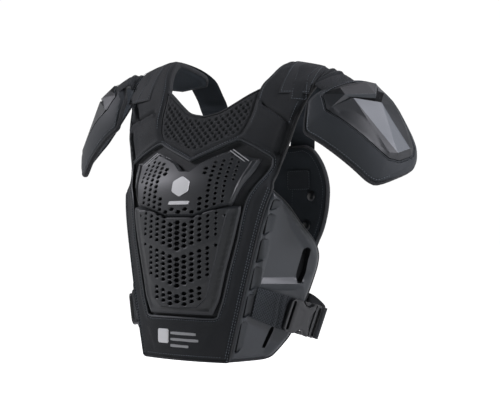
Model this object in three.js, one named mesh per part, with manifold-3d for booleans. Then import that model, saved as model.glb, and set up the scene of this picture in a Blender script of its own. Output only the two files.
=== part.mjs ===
// Roost deflector: a padded chest and back guard worn over the shoulders, with two shoulder caps.
// Millimetres, +Z up. The front faces -Y and the wearer's left is +X.
// The origin lies between the shoulders, level with the underside of the shoulder pads.

import * as THREE from 'three';
import Module from 'manifold-3d';
import { mergeVertices } from 'three/addons/utils/BufferGeometryUtils.js';

const wasm = await Module();
wasm.setup();

// Driving sizes

const TORSO_DEPTH = 250; // front panel to back panel
const TORSO_HEIGHT = 479; // front hem to the top of the shoulders
const CHEST_ROUND = 312; // radius of the front panel across the body
const HALF_WIDTH = 140; // half the front panel at the top of the wings
const HALF_HEM = 75; // half the front panel at its hem
const HEM_RISE = 20; // hem's height above the lowest point of the front
const PAD_THICK = 12; // padded fabric
const YOKE_RISE = 4; // how far the shoulder pads stand above the front panel
const MESH_THICK = 7; // knitted neck panel
const PLATE_RISE = 8; // chest and abdomen plates
const PLATE_EDGE = 2.2; // height of a plate at its border
const SEAT = 0.4; // gap between a piece and the one it lies on
const PLATE_SEAT = 0.98; // and under a plate on a curved pad
const PLATE_HOLLOW = 1; // a plate's underside is hollow by this much inside its border
const JOIN = 0.6; // gap at a sewn seam
const SHOULDER_LIFT = 20; // the right shoulder sits higher than the left

const WING_WIDTH = 123;
const WING_TURN = 60; // degrees from straight sideways at the seam
const WING_CURL = 0.06; // degrees more for each millimetre
const WING_TOP = 289; // where the wing leaves the panel, measured along the front

const WEB = 50; // width of the webbing
const WEB_THICK = 2.4;
const STRAP_OUT = 146; // shoulder strap's centre on the yoke
const STRAP_IN = 76; // and on the back panel

const CAP_LENGTH = 180; // along the arm
const CAP_HALF = 100; // half the widest part, around the arm
const CAP_ROUND = 122.5; // radius around the arm
const CAP_PAD = 11;
const CAP_PLATE = 6.5;
const CAP_PLATE_EDGE = 2.4;
const CAP_BEVEL = 14; // width of the cap plate's sloping border
const CAP_OUT = 255.9; // middle of the left cap's face
const CAP_FORWARD = -27.8;
const CAP_UP = -86.2;
const CAP_SWING = -6.6; // degrees the arm points forward
const CAP_DROP = 58.6; // degrees the arm hangs below level
const CAP_ROLL = 40.7; // degrees the cap is rolled to the front
const CAP_TOP_BEND = 0.0065; // radians for each millimetre, over the shoulder
const CAP_LOW_BEND = 0.0025; // and down the arm
const RIGHT_CAP_LIFT = 28;
const RIGHT_CAP_ROLL = 6;

const BUCKLE_LENGTH = 63;
const BUCKLE_WIDTH = 51;
const BUCKLE_THICK = 11;
const BUCKLE_ARM = 7; // width of a release arm
const BUCKLE_ARM_REACH = 19;
const BUCKLE_BASE = 15; // length of the half that carries the arms
const BUCKLE_SEAT = 3.6; // buckle's underside above the wing
const BUCKLE_PLAY = 0.4;
const BUCKLE_SLOT = 5; // slot that the webbing passes
const RIGHT_SLACK = 12; // the right buckle stands further off

const SNAP_RADIUS = 7;
const SNAP_RISE = 3.5;
const PATCH_THICK = 1.2;

// Middle line of the body, from the front hem over the shoulder to the back hem.
// name, forward as a share of the depth, height as a share of the height, radius as a share of the chest's
const SPINE = [
  ['hem', -0.52, -0.952, 1.0],
  ['belly', -0.524, -0.777, 1.0],
  ['ribs', -0.524, -0.601, 1.0],
  ['chest', -0.516, -0.449, 1.0],
  ['breast', -0.484, -0.363, 1.0],
  ['collar', -0.408, -0.284, 1.058],
  ['yoke_low', -0.336, -0.213, 1.667],
  ['yoke_mid', -0.248, -0.121, 2.885],
  ['yoke_high', -0.144, -0.021, 2.244],
  ['apex', 0.016, 0.048, 1.923],
  ['back_high', 0.184, 0.04, 1.923],
  ['back_turn', 0.344, 0.004, 1.923],
  ['back_low', 0.408, -0.063, 1.667],
  ['nape', 0.44, -0.146, 1.474],
  ['blade', 0.472, -0.292, 1.442],
  ['mid_back', 0.476, -0.449, 1.442],
  ['lumbar', 0.452, -0.626, 1.442],
  ['back_hem', 0.424, -0.898, 1.442],
];

// Outlines on the unrolled body: along as a share of the front's run, across as a share of the half width.
const ARMHOLE = [
  [0.556, 1.0], [0.581, 0.979], [0.608, 1.0], [0.643, 1.021], [0.68, 1.05], [0.741, 1.093],
  [0.818, 1.15], [0.886, 1.215], [0.943, 1.255], [1.001, 1.27], [1.078, 1.25], [1.136, 1.16], [1.167, 1.0],
];
const NECKLINE = [
  [0.637, 0.0], [0.674, 0.271], [0.691, 0.414], [0.705, 0.514], [0.732, 0.571], [0.78, 0.614],
  [0.841, 0.614], [0.878, 0.629], [0.92, 0.693], [0.972, 0.729], [1.011, 0.75], [1.078, 0.714],
  [1.136, 0.629], [1.167, 0.686],
];
const COLLAR = [
  [0.0, 0.772], [0.2, 0.782], [0.357, 0.811], [0.521, 0.843], [0.614, 0.859],
];
const BACK_EDGE = [
  [1.38, 0.629], [1.392, 0.736], [1.415, 0.814], [1.442, 0.879], [1.479, 0.936], [1.521, 0.964],
  [1.583, 0.943], [1.648, 0.879], [1.696, 0.779], [1.762, 0.714], [1.829, 0.65], [1.895, 0.594], [1.955, 0.543],
];
// Wing: along, and width as a share of the wing's
const WING_EDGE = [
  [0.019, 0.463], [0.029, 0.6], [0.06, 0.69], [0.106, 0.837], [0.223, 0.96], [0.3, 1.0],
  [0.339, 0.984], [0.374, 0.886], [0.433, 0.585], [0.508, 0.276], [0.552, 0.026],
];
// Chest plate: across, bottom and top along
const CHEST_PLATE = [
  [0.0, 0.447, 0.584], [0.057, 0.447, 0.584], [0.164, 0.447, 0.613], [0.329, 0.462, 0.638],
  [0.493, 0.477, 0.658], [0.55, 0.481, 0.651], [0.607, 0.481, 0.644], [0.721, 0.56, 0.637],
  [0.825, 0.634, 0.639],
];
// Abdomen plate: across, bottom and top along
const BELLY_PLATE = [
  [0.0, 0.17, 0.445], [0.086, 0.17, 0.445], [0.164, 0.17, 0.445], [0.257, 0.17, 0.453],
  [0.336, 0.17, 0.461], [0.4, 0.17, 0.466], [0.479, 0.214, 0.474], [0.55, 0.3, 0.478],
  [0.636, 0.383, 0.48], [0.7, 0.462, 0.481],
];
// Cap pad and plate on the unrolled cap: along as a share of the length, front and rear as shares of the half width
const CAP_PAD_EDGE = [
  [-0.46, -0.48, 0.8], [-0.4, -0.6, 0.92], [-0.306, -0.76, 1.04], [-0.211, -0.885, 1.09],
  [-0.111, -0.83, 1.1], [0.0, -0.75, 1.08], [0.167, -0.62, 1.0], [0.322, -0.5, 0.87],
  [0.444, -0.41, 0.62], [0.511, -0.3, 0.38],
];
const CAP_PLATE_TABLE = [
  [-0.389, -0.3, 0.72], [-0.344, -0.36, 0.8], [-0.222, -0.43, 0.83], [-0.1, -0.3, 0.82],
  [0.03, -0.17, 0.79], [0.167, -0.1, 0.72], [0.289, -0.03, 0.66], [0.35, 0.02, 0.56], [0.4, 0.14, 0.44],
];

// Body surface

const radians = THREE.MathUtils.degToRad;
const clamp = THREE.MathUtils.clamp;
const NAMES = SPINE.map((row) => row[0]);
const LINE = SPINE.map(([, y, z]) => [y * TORSO_DEPTH, z * TORSO_HEIGHT]);
const ROUND = SPINE.map((row) => row[3] * CHEST_ROUND);
const RUN = [0];
for (let i = 1; i < LINE.length; i += 1) {
  RUN.push(RUN[i - 1] + Math.hypot(LINE[i][0] - LINE[i - 1][0], LINE[i][1] - LINE[i - 1][1]));
}
const APEX = RUN[NAMES.indexOf('apex')];
const along = (share) => share * APEX;
const across = (share) => share * HALF_WIDTH;

// Value and slope at v of a smooth curve through the stations
function smooth(values, v) {
  const last = RUN.length - 1;
  let i = 0;
  while (i < last - 1 && v > RUN[i + 1]) i += 1;
  const slope = (k) => {
    const a = Math.max(k - 1, 0);
    const b = Math.min(k + 1, last);
    return (values[b] - values[a]) / (RUN[b] - RUN[a]);
  };
  const h = RUN[i + 1] - RUN[i];
  const t = (v - RUN[i]) / h;
  const [p, q, m, n] = [values[i], values[i + 1], slope(i) * h, slope(i + 1) * h];
  const value = p * (2 * t ** 3 - 3 * t * t + 1) + m * (t ** 3 - 2 * t * t + t)
    + q * (3 * t * t - 2 * t ** 3) + n * (t ** 3 - t * t);
  const rate = (p * (6 * t * t - 6 * t) + m * (3 * t * t - 4 * t + 1)
    + q * (6 * t - 6 * t * t) + n * (3 * t * t - 2 * t)) / h;
  return { value, rate };
}

function lookup(table, x, column = 1) {
  const last = table.length - 1;
  let i = 0;
  while (i < last - 1 && x > table[i + 1][0]) i += 1;
  const t = clamp((x - table[i][0]) / (table[i + 1][0] - table[i][0]), 0, 1);
  return table[i][column] + t * (table[i + 1][column] - table[i][column]);
}

const seam = (v) => HALF_HEM + (HALF_WIDTH - HALF_HEM) * clamp(v / (WING_TOP - 10), 0, 1);
const FORWARD = LINE.map((p) => p[0]);
const UPWARD = LINE.map((p) => p[1]);
const LIFT_RUN = 150; // how far the raised shoulder reaches along the body
const LIFT_WIDTH = 160; // and across it

// A point on the body's surface, s across and v along
function skin(s, v) {
  const forward = smooth(FORWARD, v);
  const upward = smooth(UPWARD, v);
  const r = smooth(ROUND, v).value;
  const size = Math.abs(s);
  const edge = v < WING_TOP ? seam(v) : Infinity;
  const flat = Math.min(size, edge);
  let out = r * Math.sin(flat / r);
  let fall = r * (1 - Math.cos(flat / r));
  if (size > edge) {
    const curl = radians(WING_CURL);
    const start = radians(WING_TURN);
    const end = start + curl * (size - edge);
    out += (Math.sin(end) - Math.sin(start)) / curl;
    fall += (Math.cos(start) - Math.cos(end)) / curl;
  }
  const norm = Math.hypot(forward.rate, upward.rate);
  const near = clamp(1 - ((v - APEX - 15) / LIFT_RUN) ** 2, 0, 1) ** 2;
  const lift = SHOULDER_LIFT * near * clamp(0.5 - s / LIFT_WIDTH, 0, 1);
  return new THREE.Vector3(
    Math.sign(s) * out,
    forward.value + (fall * upward.rate) / norm,
    upward.value - (fall * forward.rate) / norm + lift,
  );
}

const REACH = 12; // a crease is mitred over this distance

// The same point raised by h off the body
function onBody(s, v, h = 0) {
  const side = skin(s + REACH, v).sub(skin(s - REACH, v));
  const up = skin(s, v + 0.5).sub(skin(s, v - 0.5));
  return skin(s, v).addScaledVector(side.cross(up).normalize(), h);
}

// Cap surface

const capAxes = (roll) => {
  const swing = radians(CAP_SWING);
  const drop = radians(CAP_DROP);
  const turn = radians(roll);
  const level = new THREE.Vector3(Math.cos(swing), -Math.sin(swing), 0);
  const rear = new THREE.Vector3(Math.sin(swing), Math.cos(swing), 0);
  const up = new THREE.Vector3(0, 0, 1);
  const arm = level.clone().multiplyScalar(Math.cos(drop)).addScaledVector(up, -Math.sin(drop));
  const face = level.clone().multiplyScalar(Math.sin(drop)).addScaledVector(up, Math.cos(drop));
  return {
    arm,
    wide: rear.clone().multiplyScalar(Math.cos(turn)).addScaledVector(face, Math.sin(turn)),
    face: face.clone().multiplyScalar(Math.cos(turn)).addScaledVector(rear, -Math.sin(turn)),
  };
};

// A point on one cap, q around the arm and t down it, raised by h
function onCap(side, q, t, h = 0) {
  const { arm, wide, face } = capAxes(CAP_ROLL + (side < 0 ? RIGHT_CAP_ROLL : 0));
  const bend = t < 0 ? CAP_TOP_BEND : CAP_LOW_BEND;
  const turn = bend * t;
  const outward = face.clone().multiplyScalar(Math.cos(turn)).addScaledVector(arm, Math.sin(turn));
  const reach = CAP_ROUND + h;
  const p = new THREE.Vector3(CAP_OUT, CAP_FORWARD, CAP_UP)
    .addScaledVector(arm, Math.sin(turn) / bend)
    .addScaledVector(face, -(1 - Math.cos(turn)) / bend)
    .addScaledVector(wide, reach * Math.sin(q / CAP_ROUND))
    .addScaledVector(outward, h - reach * (1 - Math.cos(q / CAP_ROUND)));
  return new THREE.Vector3(side * p.x, p.y, p.z + (side < 0 ? RIGHT_CAP_LIFT : 0));
}

// Solids from patches

const height = (value, a, b) => (typeof value === 'function' ? value(a, b) : value);

function volumeOf(points, faces) {
  let sum = 0;
  for (const [a, b, c] of faces) sum += points[a].dot(points[b].clone().cross(points[c]));
  return sum / 6;
}

function geometryOf(points, faces) {
  const geometry = new THREE.BufferGeometry();
  const order = volumeOf(points, faces) > 0 ? faces : faces.map(([a, b, c]) => [a, c, b]);
  geometry.setAttribute('position', new THREE.Float32BufferAttribute(points.flatMap((p) => p.toArray()), 3));
  geometry.setIndex(order.flat());
  return geometry;
}

// Cells are polygons on the unrolled surface; place puts a point of it in space
function slab(cells, place, top, under) {
  const keys = new Map();
  const pairs = [];
  const corner = ([a, b]) => {
    const key = `${a.toFixed(3)},${b.toFixed(3)}`;
    if (!keys.has(key)) {
      keys.set(key, pairs.length);
      pairs.push([a, b]);
    }
    return keys.get(key);
  };
  const faces = [];
  for (const cell of cells) {
    const loop = cell.map(corner).filter((k, i, all) => k !== all[(i + 1) % all.length]);
    for (let i = 1; i + 1 < loop.length; i += 1) faces.push([loop[0], loop[i], loop[i + 1]]);
  }
  const count = pairs.length;
  const points = pairs.map(([a, b]) => place(a, b, height(top, a, b)))
    .concat(pairs.map(([a, b]) => place(a, b, height(under, a, b))));
  const edges = new Set(faces.flatMap(([a, b, c]) => [`${a},${b}`, `${b},${c}`, `${c},${a}`]));
  const all = faces.concat(faces.map(([a, b, c]) => [a + count, c + count, b + count]));
  for (const edge of edges) {
    const [a, b] = edge.split(',').map(Number);
    if (!edges.has(`${b},${a}`)) all.push([a, b + count, b], [a, a + count, b + count]);
  }
  return geometryOf(points, all);
}

const between = (a, b, t) => a + (b - a) * t;

function gridCells(rows) {
  const cells = [];
  for (let i = 0; i + 1 < rows.length; i += 1) {
    for (let j = 0; j + 1 < rows[i].length; j += 1) {
      cells.push([rows[i][j], rows[i][j + 1], rows[i + 1][j + 1], rows[i + 1][j]]);
    }
  }
  return cells;
}

const mirrored = (cells) => cells.map((cell) => cell.map(([a, b]) => [-a, b]).reverse());
const bothSides = (cells) => cells.concat(mirrored(cells));
const oneSide = (cells, side) => (side > 0 ? cells : mirrored(cells));

const STEP = 22; // distance between stations along the body
const LEAST_STEP = 7;

// Stations from one run to another, with the table's own among them
function stations(from, to, table, step = STEP) {
  const marks = [from, to, ...table.map((row) => along(row[0]))].filter((v) => v >= from && v <= to);
  marks.sort((a, b) => a - b);
  const list = [marks[0]];
  for (const mark of marks.slice(1)) {
    const start = list[list.length - 1];
    const parts = Math.ceil((mark - start) / step);
    for (let i = 1; i <= parts; i += 1) list.push(between(start, mark, i / parts));
  }
  const kept = [list[0]];
  for (const v of list.slice(1, -1)) {
    if (v - kept[kept.length - 1] > LEAST_STEP && to - v > LEAST_STEP) kept.push(v);
  }
  return [...kept, to];
}

// Rows across at each station, from inner(v) to outer(v)
function rowsOf(list, inner, outer, columns) {
  return list.map((v) => Array.from({ length: columns + 1 }, (_, j) => [
    between(inner(v), outer(v), j / columns), v]));
}

// Columns along at each place across, from bottom to top
function columnsOf(table, shares) {
  return table.map(([s, bottom, top]) => shares.map((t) => [across(s), along(between(bottom, top, t))]));
}

function manifoldOf(geometry) {
  const clean = geometry.clone();
  clean.deleteAttribute('normal');
  clean.deleteAttribute('uv');
  const merged = mergeVertices(clean, 1e-4);
  return new wasm.Manifold(new wasm.Mesh({
    numProp: 3,
    vertProperties: new Float32Array(merged.attributes.position.array),
    triVerts: new Uint32Array(merged.index.array),
  }));
}

function cut(geometry, tools) {
  const mesh = tools.reduce((body, tool) => body.subtract(manifoldOf(tool)), manifoldOf(geometry)).getMesh();
  const result = new THREE.BufferGeometry();
  result.setAttribute('position', new THREE.Float32BufferAttribute(mesh.vertProperties, 3));
  result.setIndex(Array.from(mesh.triVerts));
  return result;
}

// Materials

const FINISH = {
  fabric: [0x2a2b2f, 0.9],
  knit: [0x303136, 0.95],
  plate: [0x46474d, 0.55],
  webbing: [0x202124, 0.85],
  buckle: [0x2c2d31, 0.5],
  hook: [0x26272a, 0.95],
  snap: [0x1c1d20, 0.3],
};

const group = new THREE.Group();

function add(name, geometry, finish) {
  const [color, roughness] = FINISH[finish];
  const material = new THREE.MeshStandardMaterial({ color, roughness, metalness: 0 });
  const mesh = new THREE.Mesh(geometry, material);
  mesh.name = name;
  group.add(mesh);
  return mesh;
}

const SIDES = [['left', 1], ['right', -1]];

// Front panel with both shoulder pads

const opening = (v) => (v < along(NECKLINE[0][0]) ? 0 : across(lookup(NECKLINE, v / APEX)));
const armhole = (v) => (v < WING_TOP ? seam(v) : across(lookup(ARMHOLE, v / APEX)));
const YOKE_END = along(ARMHOLE[ARMHOLE.length - 1][0]);
const YOKE_START = along(0.66);
const YOKE_FULL = along(0.73);
const yokeRise = (v) => YOKE_RISE * clamp((v - YOKE_START) / (YOKE_FULL - YOKE_START), 0, 1);

const frontStations = stations(HEM_RISE, YOKE_END, [...NECKLINE, ...ARMHOLE, ...WING_EDGE.slice(3)]);
const frontCells = bothSides(gridCells(rowsOf(frontStations, opening, armhole, 5)));
add('front_pad', slab(frontCells, onBody, (s, v) => yokeRise(v), -PAD_THICK), 'fabric');

// Knitted panel in the neck opening

const MESH_ACROSS = [0, 0.136, 0.271, 0.357, 0.414, 0.514, 0.56, NECKLINE[5][1] - JOIN / HALF_WIDTH];
const neckCurve = NECKLINE.slice(0, 6).map(([v, s]) => [s, v]);
const meshColumns = MESH_ACROSS.map((s) => {
  const bottom = along(lookup(neckCurve, s + JOIN / HALF_WIDTH)) + JOIN;
  const top = along(lookup(COLLAR, s));
  return [0, 0.33, 0.67, 1].map((t) => [across(s), between(bottom, top, t)]);
});
add('neck_mesh', slab(bothSides(gridCells(meshColumns)), onBody, 0, -MESH_THICK), 'knit');

// Pierced plates

const PLATE_STEPS = [0, 0.06, 0.28, 0.5, 0.72, 0.94, 1];
const BEVEL = 6; // width of a plate's sloping border

// Share of the bevel crossed at a point, from its distance to the ends of its column and to its side
function bevelShare(table, s, v) {
  const size = Math.abs(s) / HALF_WIDTH;
  const end = table[table.length - 1][0];
  const bottom = along(lookup(table, size, 1));
  const top = along(lookup(table, size, 2));
  const inset = Math.min(v - bottom, top - v, across(end - size));
  return clamp(inset / BEVEL, 0, 1);
}

const HOLE_SIDES = 6;

// A six-sided hole through a plate
function hole(s, v, wide, tall) {
  const ring = Array.from({ length: HOLE_SIDES }, (_, k) => {
    const angle = (k + 0.5) * (2 * Math.PI / HOLE_SIDES);
    return [s + (wide / 2) * Math.sin(angle), v + (tall / 2) * Math.cos(angle)];
  });
  return slab([ring.reverse()], onBody, PLATE_RISE + 2, -1);
}

// Rows of holes: along, first and last place across, how many, and their width
const CHEST_HOLES = [
  [0.478, 0.0, 0.1, 1, 5.0],
  [0.508, 0.14, 0.58, 4, 5.0],
  [0.538, 0.14, 0.62, 4, 5.0],
  [0.568, 0.2, 0.66, 4, 5.0],
  [0.598, 0.3, 0.64, 3, 4.6],
  [0.625, 0.46, 0.6, 2, 4.2],
];
const BELLY_HOLES = [
  [0.205, 0.07, 0.21, 2, 5.6],
  [0.232, 0.0, 0.29, 3, 6.0],
  [0.259, 0.07, 0.36, 3, 5.6],
  [0.29, 0.0, 0.4, 4, 6.2],
  [0.32, 0.07, 0.4, 3, 5.8],
  [0.356, 0.0, 0.45, 4, 6.2],
  [0.386, 0.07, 0.46, 3, 5.8],
  [0.418, 0.0, 0.5, 3, 5.8],
];
const HOLE_TALL = 1.25; // a hole's height as a share of its width

function holesOf(table) {
  return table.flatMap(([v, first, last, count, wide]) => Array.from({ length: count }, (_, k) => {
    const s = across(between(first, last, count > 1 ? k / (count - 1) : 0));
    const sides = s > 0 ? [s, -s] : [s];
    return sides.map((place) => hole(place, along(v), wide, wide * HOLE_TALL));
  }).flat());
}

function addPlate(name, table, holes) {
  const cells = bothSides(gridCells(columnsOf(table, PLATE_STEPS)));
  const plate = slab(cells, onBody,
    (s, v) => between(PLATE_EDGE, PLATE_RISE, bevelShare(table, s, v)),
    (s, v) => PLATE_SEAT + PLATE_HOLLOW * bevelShare(table, s, v));
  add(name, cut(plate, holesOf(holes)), 'plate');
}

addPlate('chest_plate', CHEST_PLATE, CHEST_HOLES);
addPlate('abdomen_plate', BELLY_PLATE, BELLY_HOLES);

// Side wings

const wingStations = frontStations.filter((v) => v < along(0.548));
const wingReach = (v) => WING_WIDTH * lookup(WING_EDGE, v / APEX);

for (const [word, side] of SIDES) {
  const rows = wingStations.map((v) => [0, 0.2, 0.4, 0.6, 0.8, 1].map((t) => [
    seam(v) + JOIN + t * wingReach(v), v]));
  add(`side_wing_${word}`, slab(oneSide(gridCells(rows), side), onBody, 0, -PAD_THICK), 'fabric');
}

// Back panel

const BACK_STEP = 40; // distance between stations
const backStations = stations(along(BACK_EDGE[0][0]), along(BACK_EDGE[BACK_EDGE.length - 1][0]), BACK_EDGE, BACK_STEP);
const backReach = (v) => across(lookup(BACK_EDGE, v / APEX));
const backCells = bothSides(gridCells(rowsOf(backStations, () => 0, backReach, 4)));
add('back_pad', slab(backCells, onBody, 0, -PAD_THICK), 'fabric');

// Hook patch and snaps inside the back panel: across and along

const PATCH = { from: [0.37, 1.455], to: [0.72, 1.52] };
const SNAPS = [['upper', 0.735, 1.54], ['lower', 0.665, 1.635]];
const patchCells = gridCells([PATCH.from[1], PATCH.to[1]].map((v) => [
  [across(PATCH.from[0]), along(v)], [across(PATCH.to[0]), along(v)]]));
const inside = -PAD_THICK - SEAT;
add('hook_patch', slab(patchCells, onBody, inside, inside - PATCH_THICK), 'hook');

// Turns and places a piece so that its +Z follows the body's outward side at a point
function seatOn(mesh, s, v, h, outward = 1) {
  const place = onBody(s, v, h);
  const up = onBody(s, v, h + outward).sub(place).normalize();
  mesh.quaternion.setFromUnitVectors(new THREE.Vector3(0, 0, 1), up);
  mesh.position.copy(place);
}

for (const [word, s, v] of SNAPS) {
  const profile = [[0, 0], [1, 0], [1, 0.3], [0.6, 0.8], [0, 1]].map(([r, z]) => (
    new THREE.Vector2(r * SNAP_RADIUS, z * SNAP_RISE)));
  const snap = add(`snap_${word}`, new THREE.LatheGeometry(profile, 12).rotateX(Math.PI / 2), 'snap');
  seatOn(snap, across(s), along(v), inside - SEAT, -1);
}

// Shoulder straps: along, and centre from the back panel's place to the yoke's

const STRAP_WAY = [
  [0.84, 1.0], [0.92, 1.0], [1.0, 1.0], [1.08, 0.74], [1.167, 0.44], [1.23, 0.27], [1.3, 0.1],
  [1.37, 0.0], [1.43, -0.05],
];
const strapCentre = (v) => between(STRAP_IN, STRAP_OUT, lookup(STRAP_WAY, v / APEX));
const strapStations = stations(along(STRAP_WAY[0][0]), along(STRAP_WAY[STRAP_WAY.length - 1][0]), STRAP_WAY, 18);
const BACK_TOP = along(BACK_EDGE[0][0]);
const strapSeat = (v) => SEAT + 0.3 + YOKE_RISE * clamp((BACK_TOP - 10 - v) / (BACK_TOP - 10 - YOKE_END), 0, 1);

for (const [word, side] of SIDES) {
  const rows = strapStations.map((v) => [-0.5, 0, 0.5].map((t) => [strapCentre(v) + t * WEB, v]));
  const strap = slab(oneSide(gridCells(rows), side), onBody, (s, v) => strapSeat(v) + WEB_THICK,
    (s, v) => strapSeat(v));
  add(`shoulder_strap_${word}`, strap, 'webbing');
}

// Caps

const capRows = (table, columns) => table.map(([t, front, rear]) => (
  Array.from({ length: columns + 1 }, (_, j) => [
    CAP_HALF * between(front, rear, j / columns), CAP_LENGTH * t])));

for (const [word, side] of SIDES) {
  const place = (q, t, h) => onCap(side, q, t, h);
  add(`cap_pad_${word}`, slab(gridCells(capRows(CAP_PAD_EDGE, 9)), place, 0, -CAP_PAD), 'fabric');
  const bevel = (q, t) => {
    const share = t / CAP_LENGTH;
    const front = CAP_HALF * lookup(CAP_PLATE_TABLE, share, 1);
    const rear = CAP_HALF * lookup(CAP_PLATE_TABLE, share, 2);
    const ends = CAP_LENGTH * Math.min(share - CAP_PLATE_TABLE[0][0], CAP_PLATE_TABLE.at(-1)[0] - share);
    return clamp(Math.min(q - front, rear - q, ends) / CAP_BEVEL, 0, 1);
  };
  const top = (q, t) => between(CAP_PLATE_EDGE, CAP_PLATE, bevel(q, t));
  const under = (q, t) => PLATE_SEAT + PLATE_HOLLOW * bevel(q, t);
  add(`cap_plate_${word}`, slab(gridCells(capRows(CAP_PLATE_TABLE, 6)), place, top, under), 'plate');
}

// Bands that hang free: each row holds points across the band

function band(rows, thick) {
  const width = rows[0].length;
  const at = (i, j) => rows[clamp(i, 0, rows.length - 1)][clamp(j, 0, width - 1)];
  const raise = (h) => rows.flatMap((row, i) => row.map((p, j) => {
    const run = at(i + 1, j).clone().sub(at(i - 1, j));
    const wide = at(i, j + 1).clone().sub(at(i, j - 1));
    return p.clone().addScaledVector(wide.cross(run).normalize(), h);
  }));
  const points = [...raise(thick / 2), ...raise(-thick / 2)];
  const count = rows.length * width;
  const faces = [];
  const quad = (a, b, c, d) => faces.push([a, b, c], [a, c, d]);
  const key = (i, j) => i * width + j;
  for (let i = 0; i + 1 < rows.length; i += 1) {
    for (let j = 0; j + 1 < width; j += 1) {
      const [a, b, c, d] = [key(i, j), key(i, j + 1), key(i + 1, j + 1), key(i + 1, j)];
      quad(a, b, c, d);
      quad(a + count, d + count, c + count, b + count);
    }
  }
  const rim = [];
  for (let j = 0; j < width; j += 1) rim.push(key(0, j));
  for (let i = 1; i < rows.length; i += 1) rim.push(key(i, width - 1));
  for (let j = width - 2; j >= 0; j -= 1) rim.push(key(rows.length - 1, j));
  for (let i = rows.length - 2; i > 0; i -= 1) rim.push(key(i, 0));
  rim.forEach((a, k) => {
    const b = rim[(k + 1) % rim.length];
    quad(a, a + count, b + count, b);
  });
  return geometryOf(points, faces);
}

// Points of a curve that leaves a with one direction and reaches b with another
function bridge(a, leave, b, arrive, steps, fullness = 1) {
  const pull = a.distanceTo(b) * fullness;
  return Array.from({ length: steps + 1 }, (_, i) => {
    const t = i / steps;
    return a.clone().multiplyScalar(2 * t ** 3 - 3 * t * t + 1)
      .addScaledVector(leave, pull * (t ** 3 - 2 * t * t + t))
      .addScaledVector(b, 3 * t * t - 2 * t ** 3)
      .addScaledVector(arrive, pull * (t ** 3 - t * t));
  });
}

// Cap straps run from the yoke's outer edge to the cap plate's top

const CAP_STRAP = [[0.9, 0.05], [1.0, 0.62]]; // where it leaves the yoke, where it meets the plate
const CAP_STRAP_STEPS = 6;
const CAP_STRAP_LEAVE = 2.6; // its height on the yoke's edge
const CAP_STRAP_OFF = 1.5; // and its distance from it
const CAP_STRAP_ACROSS = 4;
const CAP_STRAP_LIE = [24, 16, 8, 0]; // lies on the cap pad from here to the plate

for (const [word, side] of SIDES) {
  const [top, front, rear] = CAP_PLATE_TABLE[0];
  const lines = Array.from({ length: CAP_STRAP_ACROSS + 1 }, (_, k) => {
    const run = along(between(CAP_STRAP[0][0], CAP_STRAP[1][0], k / CAP_STRAP_ACROSS));
    const share = between(CAP_STRAP[0][1], CAP_STRAP[1][1], k / CAP_STRAP_ACROSS);
    const edge = side * (armhole(run) + CAP_STRAP_OFF);
    const start = onBody(edge, run, CAP_STRAP_LEAVE);
    const away = start.clone().sub(onBody(edge - side * 5, run, CAP_STRAP_LEAVE - 2)).normalize();
    const lie = CAP_STRAP_LIE.map((drop) => onCap(side, CAP_HALF * between(front, rear, share),
      CAP_LENGTH * top - PLATE_SEAT - drop, PLATE_SEAT + WEB_THICK / 2));
    const down = lie[1].clone().sub(lie[0]).normalize();
    return [...bridge(start, away, lie[0], down, CAP_STRAP_STEPS), ...lie.slice(1)];
  });
  const rows = lines[0].map((_, i) => lines.map((line) => line[i]));
  add(`cap_strap_${word}`, band(rows, WEB_THICK), 'webbing');
}

// Waist straps: along the wing, centre above the hem

const WAIST = { front: 20, buckle: 76, high: 107.6, low: 90, slope: -0.262, tongue: 44 };
const waistCentre = (w) => (w < WAIST.buckle
  ? between(WAIST.high, WAIST.low, (w - WAIST.front) / (WAIST.buckle - WAIST.front))
  : WAIST.low + WAIST.slope * (w - WAIST.buckle));
const WAIST_GAP = 1.6; // between the front strap and the buckle
const WAIST_FULLNESS = 0.3; // how far the webbing swings out behind the buckle
const WAIST_LEAVE = 2.2; // and where it starts to turn
const SEAM_SLOPE = (HALF_WIDTH - HALF_HEM) / (WING_TOP - 10);
const WAIST_SQUARE = -WAIST.slope / (1 + SEAM_SLOPE * WAIST.slope) - SEAM_SLOPE; // keeps the strap's end square
const onWing = (side, w, v, h) => onBody(side * (seam(v) + w), v, h);
const slack = (side) => (side < 0 ? RIGHT_SLACK : 0);

function buckleAxes(side) {
  const rise = BUCKLE_SEAT + slack(side);
  const start = onWing(side, WAIST.buckle, waistCentre(WAIST.buckle), rise);
  const far = onWing(side, WAIST.buckle + BUCKLE_LENGTH, waistCentre(WAIST.buckle + BUCKLE_LENGTH), rise);
  const run = far.clone().sub(start).normalize();
  const half = WAIST.buckle + BUCKLE_LENGTH / 2;
  const out = onWing(side, half, waistCentre(half), rise).sub(onWing(side, half, waistCentre(half), 0));
  out.addScaledVector(run, -out.dot(run)).normalize();
  return { start, run, out, wide: out.clone().cross(run) };
}

const rectangle = (x0, y0, x1, y1) => [[x0, y0], [x1, y0], [x1, y1], [x0, y1]];

function extruded(outline, holes, thick) {
  const shape = new THREE.Shape(outline.map(([x, y]) => new THREE.Vector2(x, y)));
  shape.holes = holes.map((loop) => new THREE.Path(loop.map(([x, y]) => new THREE.Vector2(x, y))));
  return new THREE.ExtrudeGeometry(shape, { depth: thick, bevelEnabled: false });
}

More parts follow.
